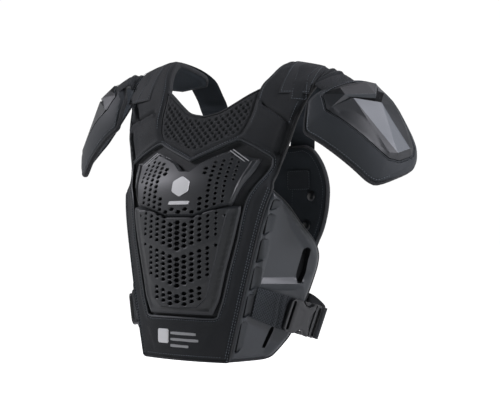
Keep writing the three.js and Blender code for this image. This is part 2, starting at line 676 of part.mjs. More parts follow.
const BUCKLE_CORNER = 5;
const half = BUCKLE_WIDTH / 2;
const socketEnd = BUCKLE_LENGTH - BUCKLE_BASE - BUCKLE_PLAY;
const notchStart = socketEnd - BUCKLE_ARM_REACH - BUCKLE_PLAY;
const notchIn = half - BUCKLE_ARM - BUCKLE_PLAY;
const socketHalf = [
  [0, half - BUCKLE_CORNER], [BUCKLE_CORNER, half], [notchStart, half], [notchStart, notchIn], [socketEnd, notchIn],
];
const armStart = BUCKLE_LENGTH - BUCKLE_BASE - BUCKLE_ARM_REACH;
const prongHalf = [
  [armStart, half - BUCKLE_ARM], [armStart, half - 2], [armStart + 4, half], [BUCKLE_LENGTH - BUCKLE_CORNER, half],
  [BUCKLE_LENGTH, half - BUCKLE_CORNER],
];
const flipped = (points) => points.map(([x, y]) => [x, -y]).reverse();
const socketOutline = [...flipped(socketHalf), ...socketHalf];
const prongRoot = [[BUCKLE_LENGTH - BUCKLE_BASE, half - BUCKLE_ARM]];
const prongOutline = [...flipped(prongRoot), ...flipped(prongHalf).reverse(), ...[...prongHalf].reverse(), ...prongRoot];
const socketSlot = rectangle(4, -WEB / 2 + 3, 4 + BUCKLE_SLOT, WEB / 2 - 3);
const prongSlot = rectangle(BUCKLE_LENGTH - 4 - BUCKLE_SLOT, -WEB / 2 + 3, BUCKLE_LENGTH - 4, WEB / 2 - 3);

for (const [word, side] of SIDES) {
  const { start, run, out, wide } = buckleAxes(side);
  const turn = new THREE.Matrix4().makeBasis(run, wide, out);
  for (const [name, outline, slot] of [['socket', socketOutline, socketSlot], ['prong', prongOutline, prongSlot]]) {
    const piece = add(`buckle_${name}_${word}`, extruded(outline, [slot], BUCKLE_THICK), 'buckle');
    piece.quaternion.setFromRotationMatrix(turn);
    piece.position.copy(start);
  }

  const shares = [0, 0.25, 0.5, 0.75, 1];
  const frontRows = shares.map((t) => {
    const w = between(WAIST.front, WAIST.buckle - WAIST_GAP, t);
    const wideAt = between(WAIST.tongue, WEB, t);
    return [-0.5, 0, 0.5].map((k) => {
      const v = waistCentre(w) + k * wideAt;
      return [seam(v) + w + t * k * wideAt * WAIST_SQUARE, v];
    });
  });
  const climb = (s, v) => {
    const t = clamp((s - seam(v) - WAIST.front) / (WAIST.buckle - WAIST.front), 0, 1);
    return SEAT + t * t * (BUCKLE_SEAT + slack(side));
  };
  const rise = (s, v) => climb(Math.abs(s), v);
  add(`waist_strap_front_${word}`, slab(oneSide(gridCells(frontRows), side), onBody,
    (s, v) => rise(s, v) + WEB_THICK, rise), 'webbing');

  const end = start.clone().addScaledVector(run, BUCKLE_LENGTH + WAIST_LEAVE).addScaledVector(out, BUCKLE_THICK / 2);
  const backPlaces = [[-0.5, 1.845], [0.5, 1.94]];
  const runs = backPlaces.map(([k, v]) => {
    const seatHeight = SEAT + WEB_THICK / 2;
    const reach = backReach(along(v));
    const leave = end.clone().addScaledVector(wide, -k * side * WEB);
    const arrive = onBody(side * reach, along(v), seatHeight);
    const inward = onBody(side * (reach - 20), along(v), seatHeight).sub(arrive);
    const path = bridge(leave, run, arrive, inward.clone().normalize(), 8, WAIST_FULLNESS);
    const from = leave.clone().addScaledVector(run, SEAT - WAIST_LEAVE);
    return [from, ...path, arrive.clone().add(inward)];
  });
  add(`waist_strap_back_${word}`, band(runs[0].map((p, i) => [p, runs[1][i]]), WEB_THICK), 'webbing');
}

export default group;
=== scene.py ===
"""Roost deflector: padded front and back panels, pierced plates, side wings, caps, straps and buckles.

Pattern sizes are in millimetres on the unrolled body: s across, v along from the front hem over the shoulder,
and h is the height off the surface. Meshes are made in metres.
"""

import logging
import math
from dataclasses import dataclass, field
from enum import Enum
from typing import Callable, Sequence

import bpy
import numpy as np
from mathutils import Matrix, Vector
from mathutils.geometry import delaunay_2d_cdt


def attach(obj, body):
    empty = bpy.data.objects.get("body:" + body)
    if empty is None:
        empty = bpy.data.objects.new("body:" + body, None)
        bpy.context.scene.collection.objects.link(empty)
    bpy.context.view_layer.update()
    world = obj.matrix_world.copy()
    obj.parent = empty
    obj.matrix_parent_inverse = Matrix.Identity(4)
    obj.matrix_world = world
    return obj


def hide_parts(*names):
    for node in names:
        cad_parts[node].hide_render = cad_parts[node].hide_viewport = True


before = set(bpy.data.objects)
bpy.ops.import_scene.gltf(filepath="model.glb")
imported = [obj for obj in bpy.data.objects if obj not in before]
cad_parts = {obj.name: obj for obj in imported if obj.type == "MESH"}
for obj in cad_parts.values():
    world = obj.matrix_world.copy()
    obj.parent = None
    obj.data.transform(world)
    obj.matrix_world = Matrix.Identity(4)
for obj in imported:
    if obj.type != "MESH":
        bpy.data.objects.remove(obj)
LOG = logging.getLogger("roost_deflector")
MM = 0.001
UV_PER_MM = 0.01
SHARP_ANGLE = 38.0
ROW_SHARE, CLEAR_SHARE = 0.866, 0.5
SWEEP_STEP = 3.0
Height = Callable[[np.ndarray], np.ndarray]
Line = Sequence[tuple[float, float]]


class Side(Enum):
    """The wearer's side of a piece."""

    LEFT = 1
    RIGHT = -1

    @property
    def word(self) -> str:
        """Lower-case name used in piece names."""
        return self.name.lower()


class Texture(Enum):
    """Kind of fine surface that a finish has."""

    WOVEN = "woven"
    KNITTED = "knitted"
    RIBBED = "ribbed"
    GRAINED = "grained"


def flat(value: float) -> Height:
    """Height function with the same value everywhere."""
    return lambda p: np.full(len(p), float(value))


def curve_through(knots: np.ndarray, values: np.ndarray, x: np.ndarray) -> tuple[np.ndarray, np.ndarray]:
    """Smooth curve through values.

    Args:
        knots: Places of the values, rising.
        values: A value at each knot.
        x: Where to read the curve.

    Returns:
        Its values and slopes at x.
    """
    slope = np.empty_like(values)
    slope[1:-1] = (values[2:] - values[:-2]) / (knots[2:] - knots[:-2])
    slope[0] = (values[1] - values[0]) / (knots[1] - knots[0])
    slope[-1] = (values[-1] - values[-2]) / (knots[-1] - knots[-2])
    i = np.clip(np.searchsorted(knots, x) - 1, 0, len(knots) - 2)
    h = knots[i + 1] - knots[i]
    t = (x - knots[i]) / h
    a, b, m, n = values[i], values[i + 1], slope[i] * h, slope[i + 1] * h
    value = a * (2 * t**3 - 3 * t**2 + 1) + m * (t**3 - 2 * t**2 + t) + b * (3 * t**2 - 2 * t**3) + n * (t**3 - t**2)
    rate = a * (6 * t**2 - 6 * t) + m * (3 * t**2 - 4 * t + 1) + b * (6 * t - 6 * t**2) + n * (3 * t**2 - 2 * t)
    return value, rate / h


class Surface:
    """A surface that pattern places are put on."""

    reach = 12.0

    def skin(self, s: np.ndarray, v: np.ndarray) -> np.ndarray:
        """Points of the surface."""
        raise NotImplementedError

    def normals(self, p: np.ndarray) -> np.ndarray:
        """Outward directions at pattern places."""
        s, v = p[:, 0], p[:, 1]
        across = self.skin(s + self.reach, v) - self.skin(s - self.reach, v)
        along = self.skin(s, v + 0.5) - self.skin(s, v - 0.5)
        n = np.cross(across, along)
        return n / np.linalg.norm(n, axis=1, keepdims=True)

    def place(self, p: np.ndarray, h: np.ndarray | float) -> np.ndarray:
        """Points raised by h off the surface."""
        p = np.atleast_2d(np.asarray(p, float))
        lift = np.broadcast_to(np.asarray(h, float), (len(p),))
        return self.skin(p[:, 0], p[:, 1]) + self.normals(p) * lift[:, None]


class BodySurface(Surface):
    """The guard's own form, front panel to back panel, with a crease where a wing leaves the front."""

    depth, height, chest_round = 250.0, 479.0, 312.0
    half_width, half_hem, wing_top = 140.0, 75.0, 289.0
    wing_turn, wing_curl = 60.0, 0.06
    shoulder_lift, lift_run, lift_width = 20.0, 150.0, 160.0
    spine = (
        ("hem", -0.52, -0.952, 1.0), ("belly", -0.524, -0.777, 1.0), ("ribs", -0.524, -0.601, 1.0),
        ("chest", -0.516, -0.449, 1.0), ("breast", -0.484, -0.363, 1.0), ("collar", -0.408, -0.284, 1.058),
        ("yoke_low", -0.336, -0.213, 1.667), ("yoke_mid", -0.248, -0.121, 2.885),
        ("yoke_high", -0.144, -0.021, 2.244), ("apex", 0.016, 0.048, 1.923), ("back_high", 0.184, 0.04, 1.923),
        ("back_turn", 0.344, 0.004, 1.923), ("back_low", 0.408, -0.063, 1.667), ("nape", 0.44, -0.146, 1.474),
        ("blade", 0.472, -0.292, 1.442), ("mid_back", 0.476, -0.449, 1.442), ("lumbar", 0.452, -0.626, 1.442),
        ("back_hem", 0.424, -0.898, 1.442),
    )

    def __init__(self) -> None:
        """Lay out the stations along the middle line."""
        self.y = np.array([row[1] for row in self.spine]) * self.depth
        self.z = np.array([row[2] for row in self.spine]) * self.height
        self.r = np.array([row[3] for row in self.spine]) * self.chest_round
        self.run = np.concatenate([[0.0], np.cumsum(np.hypot(np.diff(self.y), np.diff(self.z)))])
        self.apex = self.run[[row[0] for row in self.spine].index("apex")]

    def seam(self, v: np.ndarray | float) -> np.ndarray:
        """Half width of the front panel where the wing is sewn on."""
        share = np.clip(np.asarray(v, float) / (self.wing_top - 10), 0, 1)
        return self.half_hem + (self.half_width - self.half_hem) * share

    def skin(self, s: np.ndarray, v: np.ndarray) -> np.ndarray:
        """Points of the body's surface."""
        y, ty = curve_through(self.run, self.y, v)
        z, tz = curve_through(self.run, self.z, v)
        r, _ = curve_through(self.run, self.r, v)
        size = np.abs(s)
        edge = np.where(v < self.wing_top, self.seam(v), np.inf)
        inner = np.minimum(size, edge)
        out, fall = r * np.sin(inner / r), r * (1 - np.cos(inner / r))
        over = np.maximum(size - edge, 0)
        curl, start = math.radians(self.wing_curl), math.radians(self.wing_turn)
        out = out + (np.sin(start + curl * over) - math.sin(start)) / curl
        fall = fall + (math.cos(start) - np.cos(start + curl * over)) / curl
        norm = np.hypot(ty, tz)
        near = np.clip(1 - ((v - self.apex - 15) / self.lift_run) ** 2, 0, 1) ** 2
        lift = self.shoulder_lift * near * np.clip(0.5 - s / self.lift_width, 0, 1)
        return np.stack([np.sign(s) * out, y + fall * tz / norm, z - fall * ty / norm + lift], axis=1)


class CapSurface(Surface):
    """The face of one shoulder cap: s around the arm from front to rear, v down the arm."""

    reach = 0.5
    centre = (255.9, -27.8, -86.2)
    swing, drop, roll, round_arm = -6.6, 58.6, 40.7, 122.5
    top_bend, low_bend = 0.0065, 0.0025
    right_lift, right_roll = 28.0, 6.0

    def __init__(self, side: Side) -> None:
        """Work out the cap's axes.

        Args:
            side: Which shoulder the cap is on.
        """
        self.side = side
        swing, drop = math.radians(self.swing), math.radians(self.drop)
        turn = math.radians(self.roll + (self.right_roll if side is Side.RIGHT else 0))
        level = np.array([math.cos(swing), -math.sin(swing), 0.0])
        rear = np.array([math.sin(swing), math.cos(swing), 0.0])
        up = np.array([0.0, 0.0, 1.0])
        self.arm = level * math.cos(drop) - up * math.sin(drop)
        face = level * math.sin(drop) + up * math.cos(drop)
        self.wide = rear * math.cos(turn) + face * math.sin(turn)
        self.face = face * math.cos(turn) - rear * math.sin(turn)

    def skin(self, s: np.ndarray, v: np.ndarray) -> np.ndarray:
        """Points of the cap's face."""
        bend = np.where(v < 0, self.top_bend, self.low_bend)
        turn = bend * v
        outward = np.cos(turn)[:, None] * self.face + np.sin(turn)[:, None] * self.arm
        a = s / self.round_arm
        p = (np.array(self.centre) + (np.sin(turn) / bend)[:, None] * self.arm
             - ((1 - np.cos(turn)) / bend)[:, None] * self.face
             + (self.round_arm * np.sin(a))[:, None] * self.wide
             - (self.round_arm * (1 - np.cos(a)))[:, None] * outward)
        p = p * np.array([self.side.value, 1, 1])
        p[:, 2] += self.right_lift if self.side is Side.RIGHT else 0.0
        return p

    def normals(self, p: np.ndarray) -> np.ndarray:
        """Outward directions, the same way round on both caps."""
        return super().normals(p) * -self.side.value


BODY = BodySurface()
Run = tuple[Surface, np.ndarray, float, bool]


# Pattern geometry

def rounded(points: Line, rounds: int = 2, closed: bool = True, cut: float = 0.22) -> np.ndarray:
    """Line with its corners cut round.

    Args:
        points: Corners of the line.
        rounds: How often the corners are cut.
        closed: Whether the last point joins the first.
        cut: Share of each stretch that a cut takes.

    Returns:
        The rounded line.
    """
    p = np.asarray(points, float)
    for _ in range(rounds):
        q = np.roll(p, -1, axis=0) if closed else p[1:]
        a = p if closed else p[:-1]
        new = np.stack([a * (1 - cut) + q * cut, a * cut + q * (1 - cut)], axis=1).reshape(-1, 2)
        p = new if closed else np.concatenate([p[:1], new[1:-1], p[-1:]])
    return p


def resampled(points: np.ndarray, step: float, closed: bool = True) -> np.ndarray:
    """Line with points about a step apart, its corners kept."""
    p = np.concatenate([points, points[:1]]) if closed else points
    out = []
    for a, b in zip(p[:-1], p[1:]):
        n = max(1, int(round(float(np.linalg.norm(b - a)) / step)))
        out += [a + (b - a) * k / n for k in range(n)]
    if not closed:
        out.append(p[-1])
    return np.array(out)


def mirrored(points: np.ndarray) -> np.ndarray:
    """The line on the wearer's other side."""
    return np.asarray(points, float) * np.array([-1.0, 1.0])


def whole(half: Line, open_middle: bool = False) -> np.ndarray:
    """A closed outline from its left half, which runs from the middle line round to the middle line."""
    h = np.asarray(half, float)
    other = mirrored(h)[::-1]
    return np.concatenate([h, other]) if open_middle else np.concatenate([h, other[1:-1]])


def distance(p: np.ndarray, line: np.ndarray, closed: bool = True) -> np.ndarray:
    """Distance from each place to a line."""
    best = np.full(len(p), 1e9)
    ends = np.concatenate([line, line[:1]]) if closed else line
    for a, b in zip(ends[:-1], ends[1:]):
        d = b - a
        t = np.clip(((p - a) @ d) / max(float(d @ d), 1e-9), 0, 1)
        best = np.minimum(best, np.hypot(p[:, 0] - a[0] - t * d[0], p[:, 1] - a[1] - t * d[1]))
    return best


def inside(p: np.ndarray, *loops: np.ndarray) -> np.ndarray:
    """Whether each place lies inside an odd number of the loops."""
    odd = np.zeros(len(p), bool)
    for loop in loops:
        for a, b in zip(loop, np.roll(loop, -1, axis=0)):
            if a[1] == b[1]:
                continue
            crosses = (p[:, 1] < a[1]) != (p[:, 1] < b[1])
            odd ^= crosses & (p[:, 0] < a[0] + (p[:, 1] - a[1]) * (b[0] - a[0]) / (b[1] - a[1]))
    return odd


def depth_in(p: np.ndarray, loop: np.ndarray) -> np.ndarray:
    """Distance inside a loop, negative outside it."""
    return distance(p, loop) * np.where(inside(p, loop), 1, -1)


def ease(x: np.ndarray, low: float, high: float) -> np.ndarray:
    """Smooth step from 0 at low to 1 at high."""
    t = np.clip((x - low) / (high - low), 0, 1)
    return t * t * (3 - 2 * t)


def near_edge(p: np.ndarray, loop: np.ndarray, width: float) -> np.ndarray:
    """1 on a loop, easing to 0 a width away from it."""
    return 1 - ease(distance(p, loop), 0, width)


def bump(x: np.ndarray, width: float) -> np.ndarray:
    """Bell of height 1 around nought."""
    return np.exp(-((x / width) ** 2))


class Facets:
    """Height field made of flat facets between corner points."""

    def __init__(self, corners: Sequence[tuple[float, float, float]], edges: Sequence[tuple[int, int]] = ()) -> None:
        """Join the corners into triangles.

        Args:
            corners: Across, along and height of each corner.
            edges: Pairs of corners that a fold must join.
        """
        given = np.array(corners, float)
        verts, links, faces, *_ = delaunay_2d_cdt([Vector(c[:2]) for c in corners], list(edges), [], 0, 1e-4)
        self.places = np.array([tuple(v) for v in verts])
        order = [int(np.argmin(np.hypot(*(given[:, :2] - q).T))) for q in self.places]
        self.heights = given[order, 2]
        self.faces = [list(f) for f in faces if len(f) == 3]
        self.folds = [(self.places[list(link)], False) for link in links]

    def __call__(self, p: np.ndarray) -> np.ndarray:
        """Height at each place."""
        return self.blend(p, self.heights[:, None])[:, 0]

    def blend(self, p: np.ndarray, values: np.ndarray) -> np.ndarray:
        """Values at each place, from a row of values for each corner."""
        out, best = np.zeros((len(p), values.shape[1])), np.full(len(p), -1e9)
        for face in self.faces:
            a, b, c = self.places[face]
            uv = (p - a) @ np.linalg.inv(np.array([b - a, c - a]))
            w = np.stack([1 - uv.sum(axis=1), uv[:, 0], uv[:, 1]], axis=1)
            least = w.min(axis=1)
            hit = least > best
            kept = np.clip(w[hit], 0, 1)
            out[hit] = (kept / kept.sum(axis=1, keepdims=True)) @ values[face]
            best[hit] = least[hit]
        return out


def chain(*numbers: int, closed: bool = False) -> list[tuple[int, int]]:
    """Pairs that join corners one after another."""
    pairs = list(zip(numbers, numbers[1:]))
    return pairs + [(numbers[-1], numbers[0])] if closed else pairs


# Meshes

@dataclass
class Panel:
    """A sheet or moulded plate cut from a pattern and laid on a surface.

    Attributes:
        name: Name of the piece.
        surface: What it lies on.
        outline: Closed outline in pattern sizes.
        top: Height of its outer face.
        under: Height of its inner face.
        spacing: Distance between its inner points.
        holes: Loops cut right through.
        lines: Loops or lines kept as edges.
        crease: Angle in degrees past which an edge stays sharp.
    """

    name: str
    surface: Surface
    outline: np.ndarray
    top: Height
    under: Height
    spacing: float = 3.0
    holes: list[np.ndarray] = field(default_factory=list)
    lines: list[tuple[np.ndarray, bool]] = field(default_factory=list)
    crease: float = SHARP_ANGLE

    def grid(self, edge: np.ndarray, loops: Sequence[tuple[np.ndarray, bool]]) -> np.ndarray:
        """Inner points in staggered rows, clear of the loops."""
        low, high = edge.min(0), edge.max(0)
        xs = np.arange(low[0], high[0] + self.spacing, self.spacing)
        ys = np.arange(low[1], high[1] + self.spacing, self.spacing * ROW_SHARE)
        grid = np.array([(x + (k % 2) * self.spacing / 2, y) for k, y in enumerate(ys) for x in xs])
        grid = grid[inside(grid, edge)]
        for loop, closed in loops:
            near = np.all((grid > loop.min(0) - self.spacing) & (grid < loop.max(0) + self.spacing), axis=1)
            keep = np.ones(len(grid), bool)
            keep[near] = distance(grid[near], loop, closed) > self.spacing * CLEAR_SHARE
            grid = grid[keep]
        return grid

    def triangles(self) -> tuple[np.ndarray, np.ndarray]:
        """Points and triangles of the pattern."""
        edge = resampled(self.outline, self.spacing)
        loops = [(edge, True), *((h, True) for h in self.holes)]
        loops += [(resampled(line, self.spacing, closed), closed) for line, closed in self.lines]
        points, edges = [], []
        for loop, closed in loops:
            start, n = len(points), len(loop)
            points += [tuple(q) for q in loop]
            edges += [(start + k, start + (k + 1) % n) for k in range(n if closed else n - 1)]
        points += [tuple(q) for q in self.grid(edge, loops)]
        verts, _, faces, *_ = delaunay_2d_cdt([Vector(q) for q in points], edges, [], 0, 1e-4)
        p = np.array([tuple(v) for v in verts])
        tri = np.array([f for f in faces if len(f) == 3])
        middle = p[tri].mean(1)
        keep = inside(middle, edge)
        for loop in self.holes:
            near = np.all((middle > loop.min(0)) & (middle < loop.max(0)), axis=1)
            keep[near] &= ~inside(middle[near], loop)
        a, b, c = p[tri[:, 0]], p[tri[:, 1]], p[tri[:, 2]]
        area = (b[:, 0] - a[:, 0]) * (c[:, 1] - a[:, 1]) - (b[:, 1] - a[:, 1]) * (c[:, 0] - a[:, 0])
        tri = np.where(area[:, None] < 0, tri[:, [0, 2, 1]], tri)
        used, back = np.unique(tri[keep & (np.abs(area) > 1e-7)], return_inverse=True)
        return p[used], back.reshape(-1, 3)

    def build(self) -> bpy.types.Object:
        """Make the piece as one closed mesh with its pattern as a UV map."""
        p, tri = self.triangles()
        n = len(p)
        normals = self.surface.normals(p)
        base = self.surface.skin(p[:, 0], p[:, 1])
        verts = np.concatenate([base + normals * self.top(p)[:, None], base + normals * self.under(p)[:, None]])
        pairs = np.concatenate([tri[:, [0, 1]], tri[:, [1, 2]], tri[:, [2, 0]]])
        seen = set(map(tuple, pairs.tolist()))
        rim = [(a, b) for a, b in pairs.tolist() if (b, a) not in seen]
        faces = tri.tolist() + (tri[:, [0, 2, 1]] + n).tolist() + [[a, a + n, b + n, b] for a, b in rim]
        obj = mesh_object(self.name, verts, faces, np.concatenate([p, p]), self.crease)
        obj["outer_faces"] = len(tri)
        return obj


def signed_volume(verts: np.ndarray, faces: Sequence[Sequence[int]]) -> float:
    """Volume of a closed mesh, negative where its faces look inward."""
    triangles = np.array([(f[0], f[k], f[k + 1]) for f in faces for k in range(1, len(f) - 1)])
    p = verts - verts.mean(axis=0)
    a, b, c = (p[triangles[:, k]] for k in range(3))
    return float(np.sum(a * np.cross(b, c)))


def linked(name: str, data: bpy.types.ID) -> bpy.types.Object:
    """New object in the scene."""
    obj = bpy.data.objects.new(name, data)
    bpy.context.scene.collection.objects.link(obj)
    return obj


def mesh_object(name: str, verts: np.ndarray, faces: list[list[int]], pattern: np.ndarray | None = None,
                crease: float = SHARP_ANGLE) -> bpy.types.Object:
    """Make a mesh object.

    Args:
        name: Name of the piece.
        verts: Points in millimetres.
        faces: Corner numbers of each face.
        pattern: Pattern place of each point, kept as the UV map.
        crease: Angle in degrees past which an edge stays sharp.

    Returns:
        The object, linked to the scene.
    """
    verts = np.asarray(verts, float)
    if signed_volume(verts, faces) < 0:
        faces = [f[::-1] for f in faces]
    mesh = bpy.data.meshes.new(name)
    mesh.from_pydata((verts * MM).tolist(), [], faces)
    if pattern is not None:
        layer = mesh.uv_layers.new(name="pattern")
        corners = np.empty(len(mesh.loops), dtype=np.int64)
        mesh.loops.foreach_get("vertex_index", corners)
        layer.data.foreach_set("uv", (pattern[corners] * UV_PER_MM).ravel())
    mesh.polygons.foreach_set("use_smooth", [True] * len(mesh.polygons))
    mesh.update()
    mesh.set_sharp_from_angle(angle=math.radians(crease))
    return linked(name, mesh)


def run_lengths(path: np.ndarray) -> np.ndarray:
    """How far along a path each of its points lies."""
    return np.concatenate([[0], np.cumsum(np.linalg.norm(np.diff(path, axis=0), axis=1))])


def grid_uv(along_it: np.ndarray, across_it: np.ndarray) -> np.ndarray:
    """Pattern place of each point of a grid, row by row."""
    return np.stack(np.meshgrid(along_it, across_it, indexing="ij"), axis=-1).reshape(-1, 2)


def swept(name: str, path: np.ndarray, outs: np.ndarray, ups: np.ndarray, profile: np.ndarray,
          closed: bool) -> bpy.types.Object:
    """Sweep a closed profile along a path.

    Args:
        name: Name of the piece.
        path: Points of the path.
        outs: Direction of the profile's first axis at each point.
        ups: Direction of its second axis.
        profile: Points of the profile, in millimetres.
        closed: Whether the path is a loop.

    Returns:
        The swept piece.
    """
    n, m = len(path), len(profile)
    verts = (path[:, None] + outs[:, None] * profile[None, :, :1] + ups[:, None] * profile[None, :, 1:]).reshape(-1, 3)
    faces = []
    for i in range(n if closed else n - 1):
        j = (i + 1) % n
        faces += [[i * m + k, i * m + (k + 1) % m, j * m + (k + 1) % m, j * m + k] for k in range(m)]
    if not closed:
        faces += [list(range(m))[::-1], list(range((n - 1) * m, n * m))]
    return mesh_object(name, verts, faces, grid_uv(run_lengths(path), np.arange(m) * 2.0))


def ellipse(wide: float, tall: float, sides: int = 10) -> np.ndarray:
    """Profile with an oval outline."""
    a = np.arange(sides) * 2 * math.pi / sides
    return np.stack([wide * np.cos(a), tall * np.sin(a)], axis=1)


def on_surface_sweep(name: str, surface: Surface, line: np.ndarray, h: Height | float, profile: np.ndarray,
                     closed: bool) -> bpy.types.Object:
    """Sweep a profile along a pattern line, its second axis off the surface."""
    p = resampled(line, SWEEP_STEP, closed)
    lift = h(p) if callable(h) else h
    path = surface.place(p, lift)
    ups = surface.normals(p)
    ahead = np.roll(path, -1, axis=0) - np.roll(path, 1, axis=0)
    if not closed:
        ahead[0], ahead[-1] = path[1] - path[0], path[-1] - path[-2]
    outs = np.cross(ahead, ups)
    outs /= np.linalg.norm(outs, axis=1, keepdims=True)
    return swept(name, path, outs, ups, profile, closed)


# Materials

class Nodes:
    """Short ways to add and join nodes in a tree."""

    def __init__(self, tree: bpy.types.NodeTree) -> None:
        """Work on one tree."""
        self.tree = tree

    def feed(self, node: bpy.types.Node, inputs: dict[str | int, object]) -> None:
        """Give inputs of a node their values, or link them to sockets."""
        for key, value in inputs.items():
            if isinstance(value, bpy.types.NodeSocket):
                self.tree.links.new(value, node.inputs[key])
            else:
                node.inputs[key].default_value = value

    def add(self, kind: str, inputs: dict[str | int, object] | None = None, **settings: object) -> bpy.types.Node:
        """Add a node.

        Args:
            kind: Kind of node.
            inputs: Value or socket for each of its inputs that is set.
            settings: Values of its properties.

        Returns:
            The node.
        """
        node = self.tree.nodes.new(kind)
        for key, value in settings.items():
            setattr(node, key, value)
        self.feed(node, inputs or {})
        return node

    def math(self, operation: str, *values: bpy.types.NodeSocket | float) -> bpy.types.NodeSocket:
        """Add a sum of sockets or numbers and return its result."""
        return self.add("ShaderNodeMath", dict(enumerate(values)), operation=operation).outputs[0]

    def waves(self, value: bpy.types.NodeSocket) -> bpy.types.NodeSocket:
        """Round ridges one apart."""
        return self.math("ABSOLUTE", self.math("SINE", self.math("MULTIPLY", value, math.pi)))

    def spread(self, value: bpy.types.NodeSocket, low: float, high: float, to_low: float = 0.0,
               to_high: float = 1.0) -> bpy.types.NodeSocket:
        """Value carried from one range to another and held at its ends."""
        limits = {"From Min": low, "From Max": high, "To Min": to_low, "To Max": to_high}
        return self.add("ShaderNodeMapRange", {"Value": value, **limits}).outputs[0]


def node_group(name: str, kind: str, inputs: dict[str, str], output: tuple[str, str]) -> tuple[Nodes, dict[str, str]]:
    """Start a node group.

    Args:
        name: Name of the group.
        kind: Kind of tree.
        inputs: Kind of each input socket.
        output: Name and kind of the output socket.

    Returns:
        Its nodes, and the identifier of each input.
    """
    tree = bpy.data.node_groups.new(name, kind)
    keys = {key: tree.interface.new_socket(key, in_out="INPUT", socket_type="NodeSocket" + socket).identifier
            for key, socket in inputs.items()}
    tree.interface.new_socket(output[0], in_out="OUTPUT", socket_type="NodeSocket" + output[1])
    return Nodes(tree), keys


def texture_group(kind: Texture) -> bpy.types.NodeTree:
    """Node group giving the height of one fine texture from a pattern place.

    Args:
        kind: Which texture.

    Returns:
        The group, with the inputs Vector, Scale and the output Height.
    """
    name = kind.value + "_surface"
    if name in bpy.data.node_groups:
        return bpy.data.node_groups[name]
    n, _ = node_group(name, "ShaderNodeTree", {"Vector": "Vector", "Scale": "Float"}, ("Height", "Float"))
    given = n.add("NodeGroupInput").outputs
    scaled = n.add("ShaderNodeVectorMath", {0: given["Vector"], "Scale": given["Scale"]}, operation="SCALE").outputs[0]
    parts = n.add("ShaderNodeSeparateXYZ", {0: scaled}).outputs
    x, y = parts["X"], parts["Y"]
    if kind is Texture.WOVEN:
        result = n.math("MAXIMUM", n.math("MULTIPLY", n.waves(x), 0.9), n.waves(y))
    elif kind is Texture.KNITTED:
        loops = n.math("MULTIPLY", n.waves(n.math("ADD", x, y)), n.waves(n.math("SUBTRACT", x, y)))
        result = n.math("SUBTRACT", 1.0, loops)
    elif kind is Texture.RIBBED:
        shift = n.math("ADD", n.math("MULTIPLY", x, 0.5), n.math("FRACT", n.math("MULTIPLY", y, 0.5)))
        result = n.math("MULTIPLY", n.waves(y), n.math("ADD", 0.55, n.math("MULTIPLY", n.waves(shift), 0.45)))
    else:
        result = n.add("ShaderNodeTexNoise", {"Scale": 1.0, "Detail": 3.0, "Vector": scaled}).outputs[0]
    n.add("NodeGroupOutput", {"Height": result})
    return n.tree


def wear_group() -> bpy.types.NodeTree:
    """Node group giving a soft cloudy mask from an object place, for dust and handling."""
    name = "soft_wear"
    if name in bpy.data.node_groups:
        return bpy.data.node_groups[name]
    n, _ = node_group(name, "ShaderNodeTree", {"Vector": "Vector", "Size": "Float"}, ("Mask", "Float"))
    given = n.add("NodeGroupInput").outputs
    noise = n.add("ShaderNodeTexNoise", {"Detail": 4.0, "Vector": given["Vector"], "Scale": given["Size"]})
    n.add("NodeGroupOutput", {"Mask": n.spread(noise.outputs[0], 0.35, 0.7)})
    return n.tree


WEAR_SCALE, WEAR_SHARE, WEAR_DULLING = 14.0, 0.4, 0.08
SHEEN_ROUGHNESS, COAT_ROUGHNESS = 0.4, 0.25


@dataclass(frozen=True)
class Finish:
    """Look of one material.

    Attributes:
        name: Name of the material.
        slot: Record slot it answers to; not used.
        colour: Main colour, linear.
        raised: Colour of the texture's high spots, a painted highlight that leaves the hollows darker as painted shade,
            and of worn places.
        roughness: Surface roughness.
        texture: Fine surface.
        scale: Texture repeats in 100 mm.
        relief: Height of the texture in millimetres.
        sheen: Amount of cloth sheen.
        specular: Specular level.
        coat: Amount of gloss coat.
    """

    name: str
    slot: str
    colour: tuple[float, float, float]
    raised: tuple[float, float, float]
    roughness: float
    texture: Texture
    scale: float
    relief: float
    sheen: float = 0.0
    specular: float = 0.3
    coat: float = 0.0

    def material(self) -> bpy.types.Material:
        """The material, made once."""
        if self.name in bpy.data.materials:
            return bpy.data.materials[self.name]
        made = bpy.data.materials.new(self.name)
        made.use_nodes = True
        n = Nodes(made.node_tree)
        place = n.add("ShaderNodeTexCoord").outputs
        fine = n.add("ShaderNodeGroup", {"Vector": place["UV"], "Scale": self.scale},
                     node_tree=texture_group(self.texture)).outputs["Height"]
        wear = n.add("ShaderNodeGroup", {"Vector": place["Object"], "Size": WEAR_SCALE},
                     node_tree=wear_group()).outputs["Mask"]
        # Colour lighter on the texture's high spots, which paints light on them and shade in the hollows, and where the
        # soft wear mask is high.
        share = n.math("ADD", n.math("MULTIPLY", fine, 1 - WEAR_SHARE), n.math("MULTIPLY", wear, WEAR_SHARE))
        mix = n.add("ShaderNodeMix", {"Factor": share}, data_type="RGBA")
        low, high = (socket for socket in mix.inputs if socket.type == "RGBA")
        low.default_value, high.default_value = (*self.colour, 1), (*self.raised, 1)
        relief = n.add("ShaderNodeBump", {"Distance": self.relief * MM, "Height": fine})
        n.feed(made.node_tree.nodes["Principled BSDF"], {
            "Base Color": next(socket for socket in mix.outputs if socket.type == "RGBA"),
            "Roughness": n.math("ADD", n.math("MULTIPLY", wear, WEAR_DULLING), self.roughness),
            "Normal": relief.outputs["Normal"], "Specular IOR Level": self.specular,
            "Sheen Weight": self.sheen, "Sheen Roughness": SHEEN_ROUGHNESS,
            "Coat Weight": self.coat, "Coat Roughness": COAT_ROUGHNESS,
        })
        return made


def grey(value: float, blue: float = 1.38) -> tuple[float, float, float]:
    """Near-neutral colour with a touch of blue."""
    return (value, value * (1 + blue) / 2, value * blue)


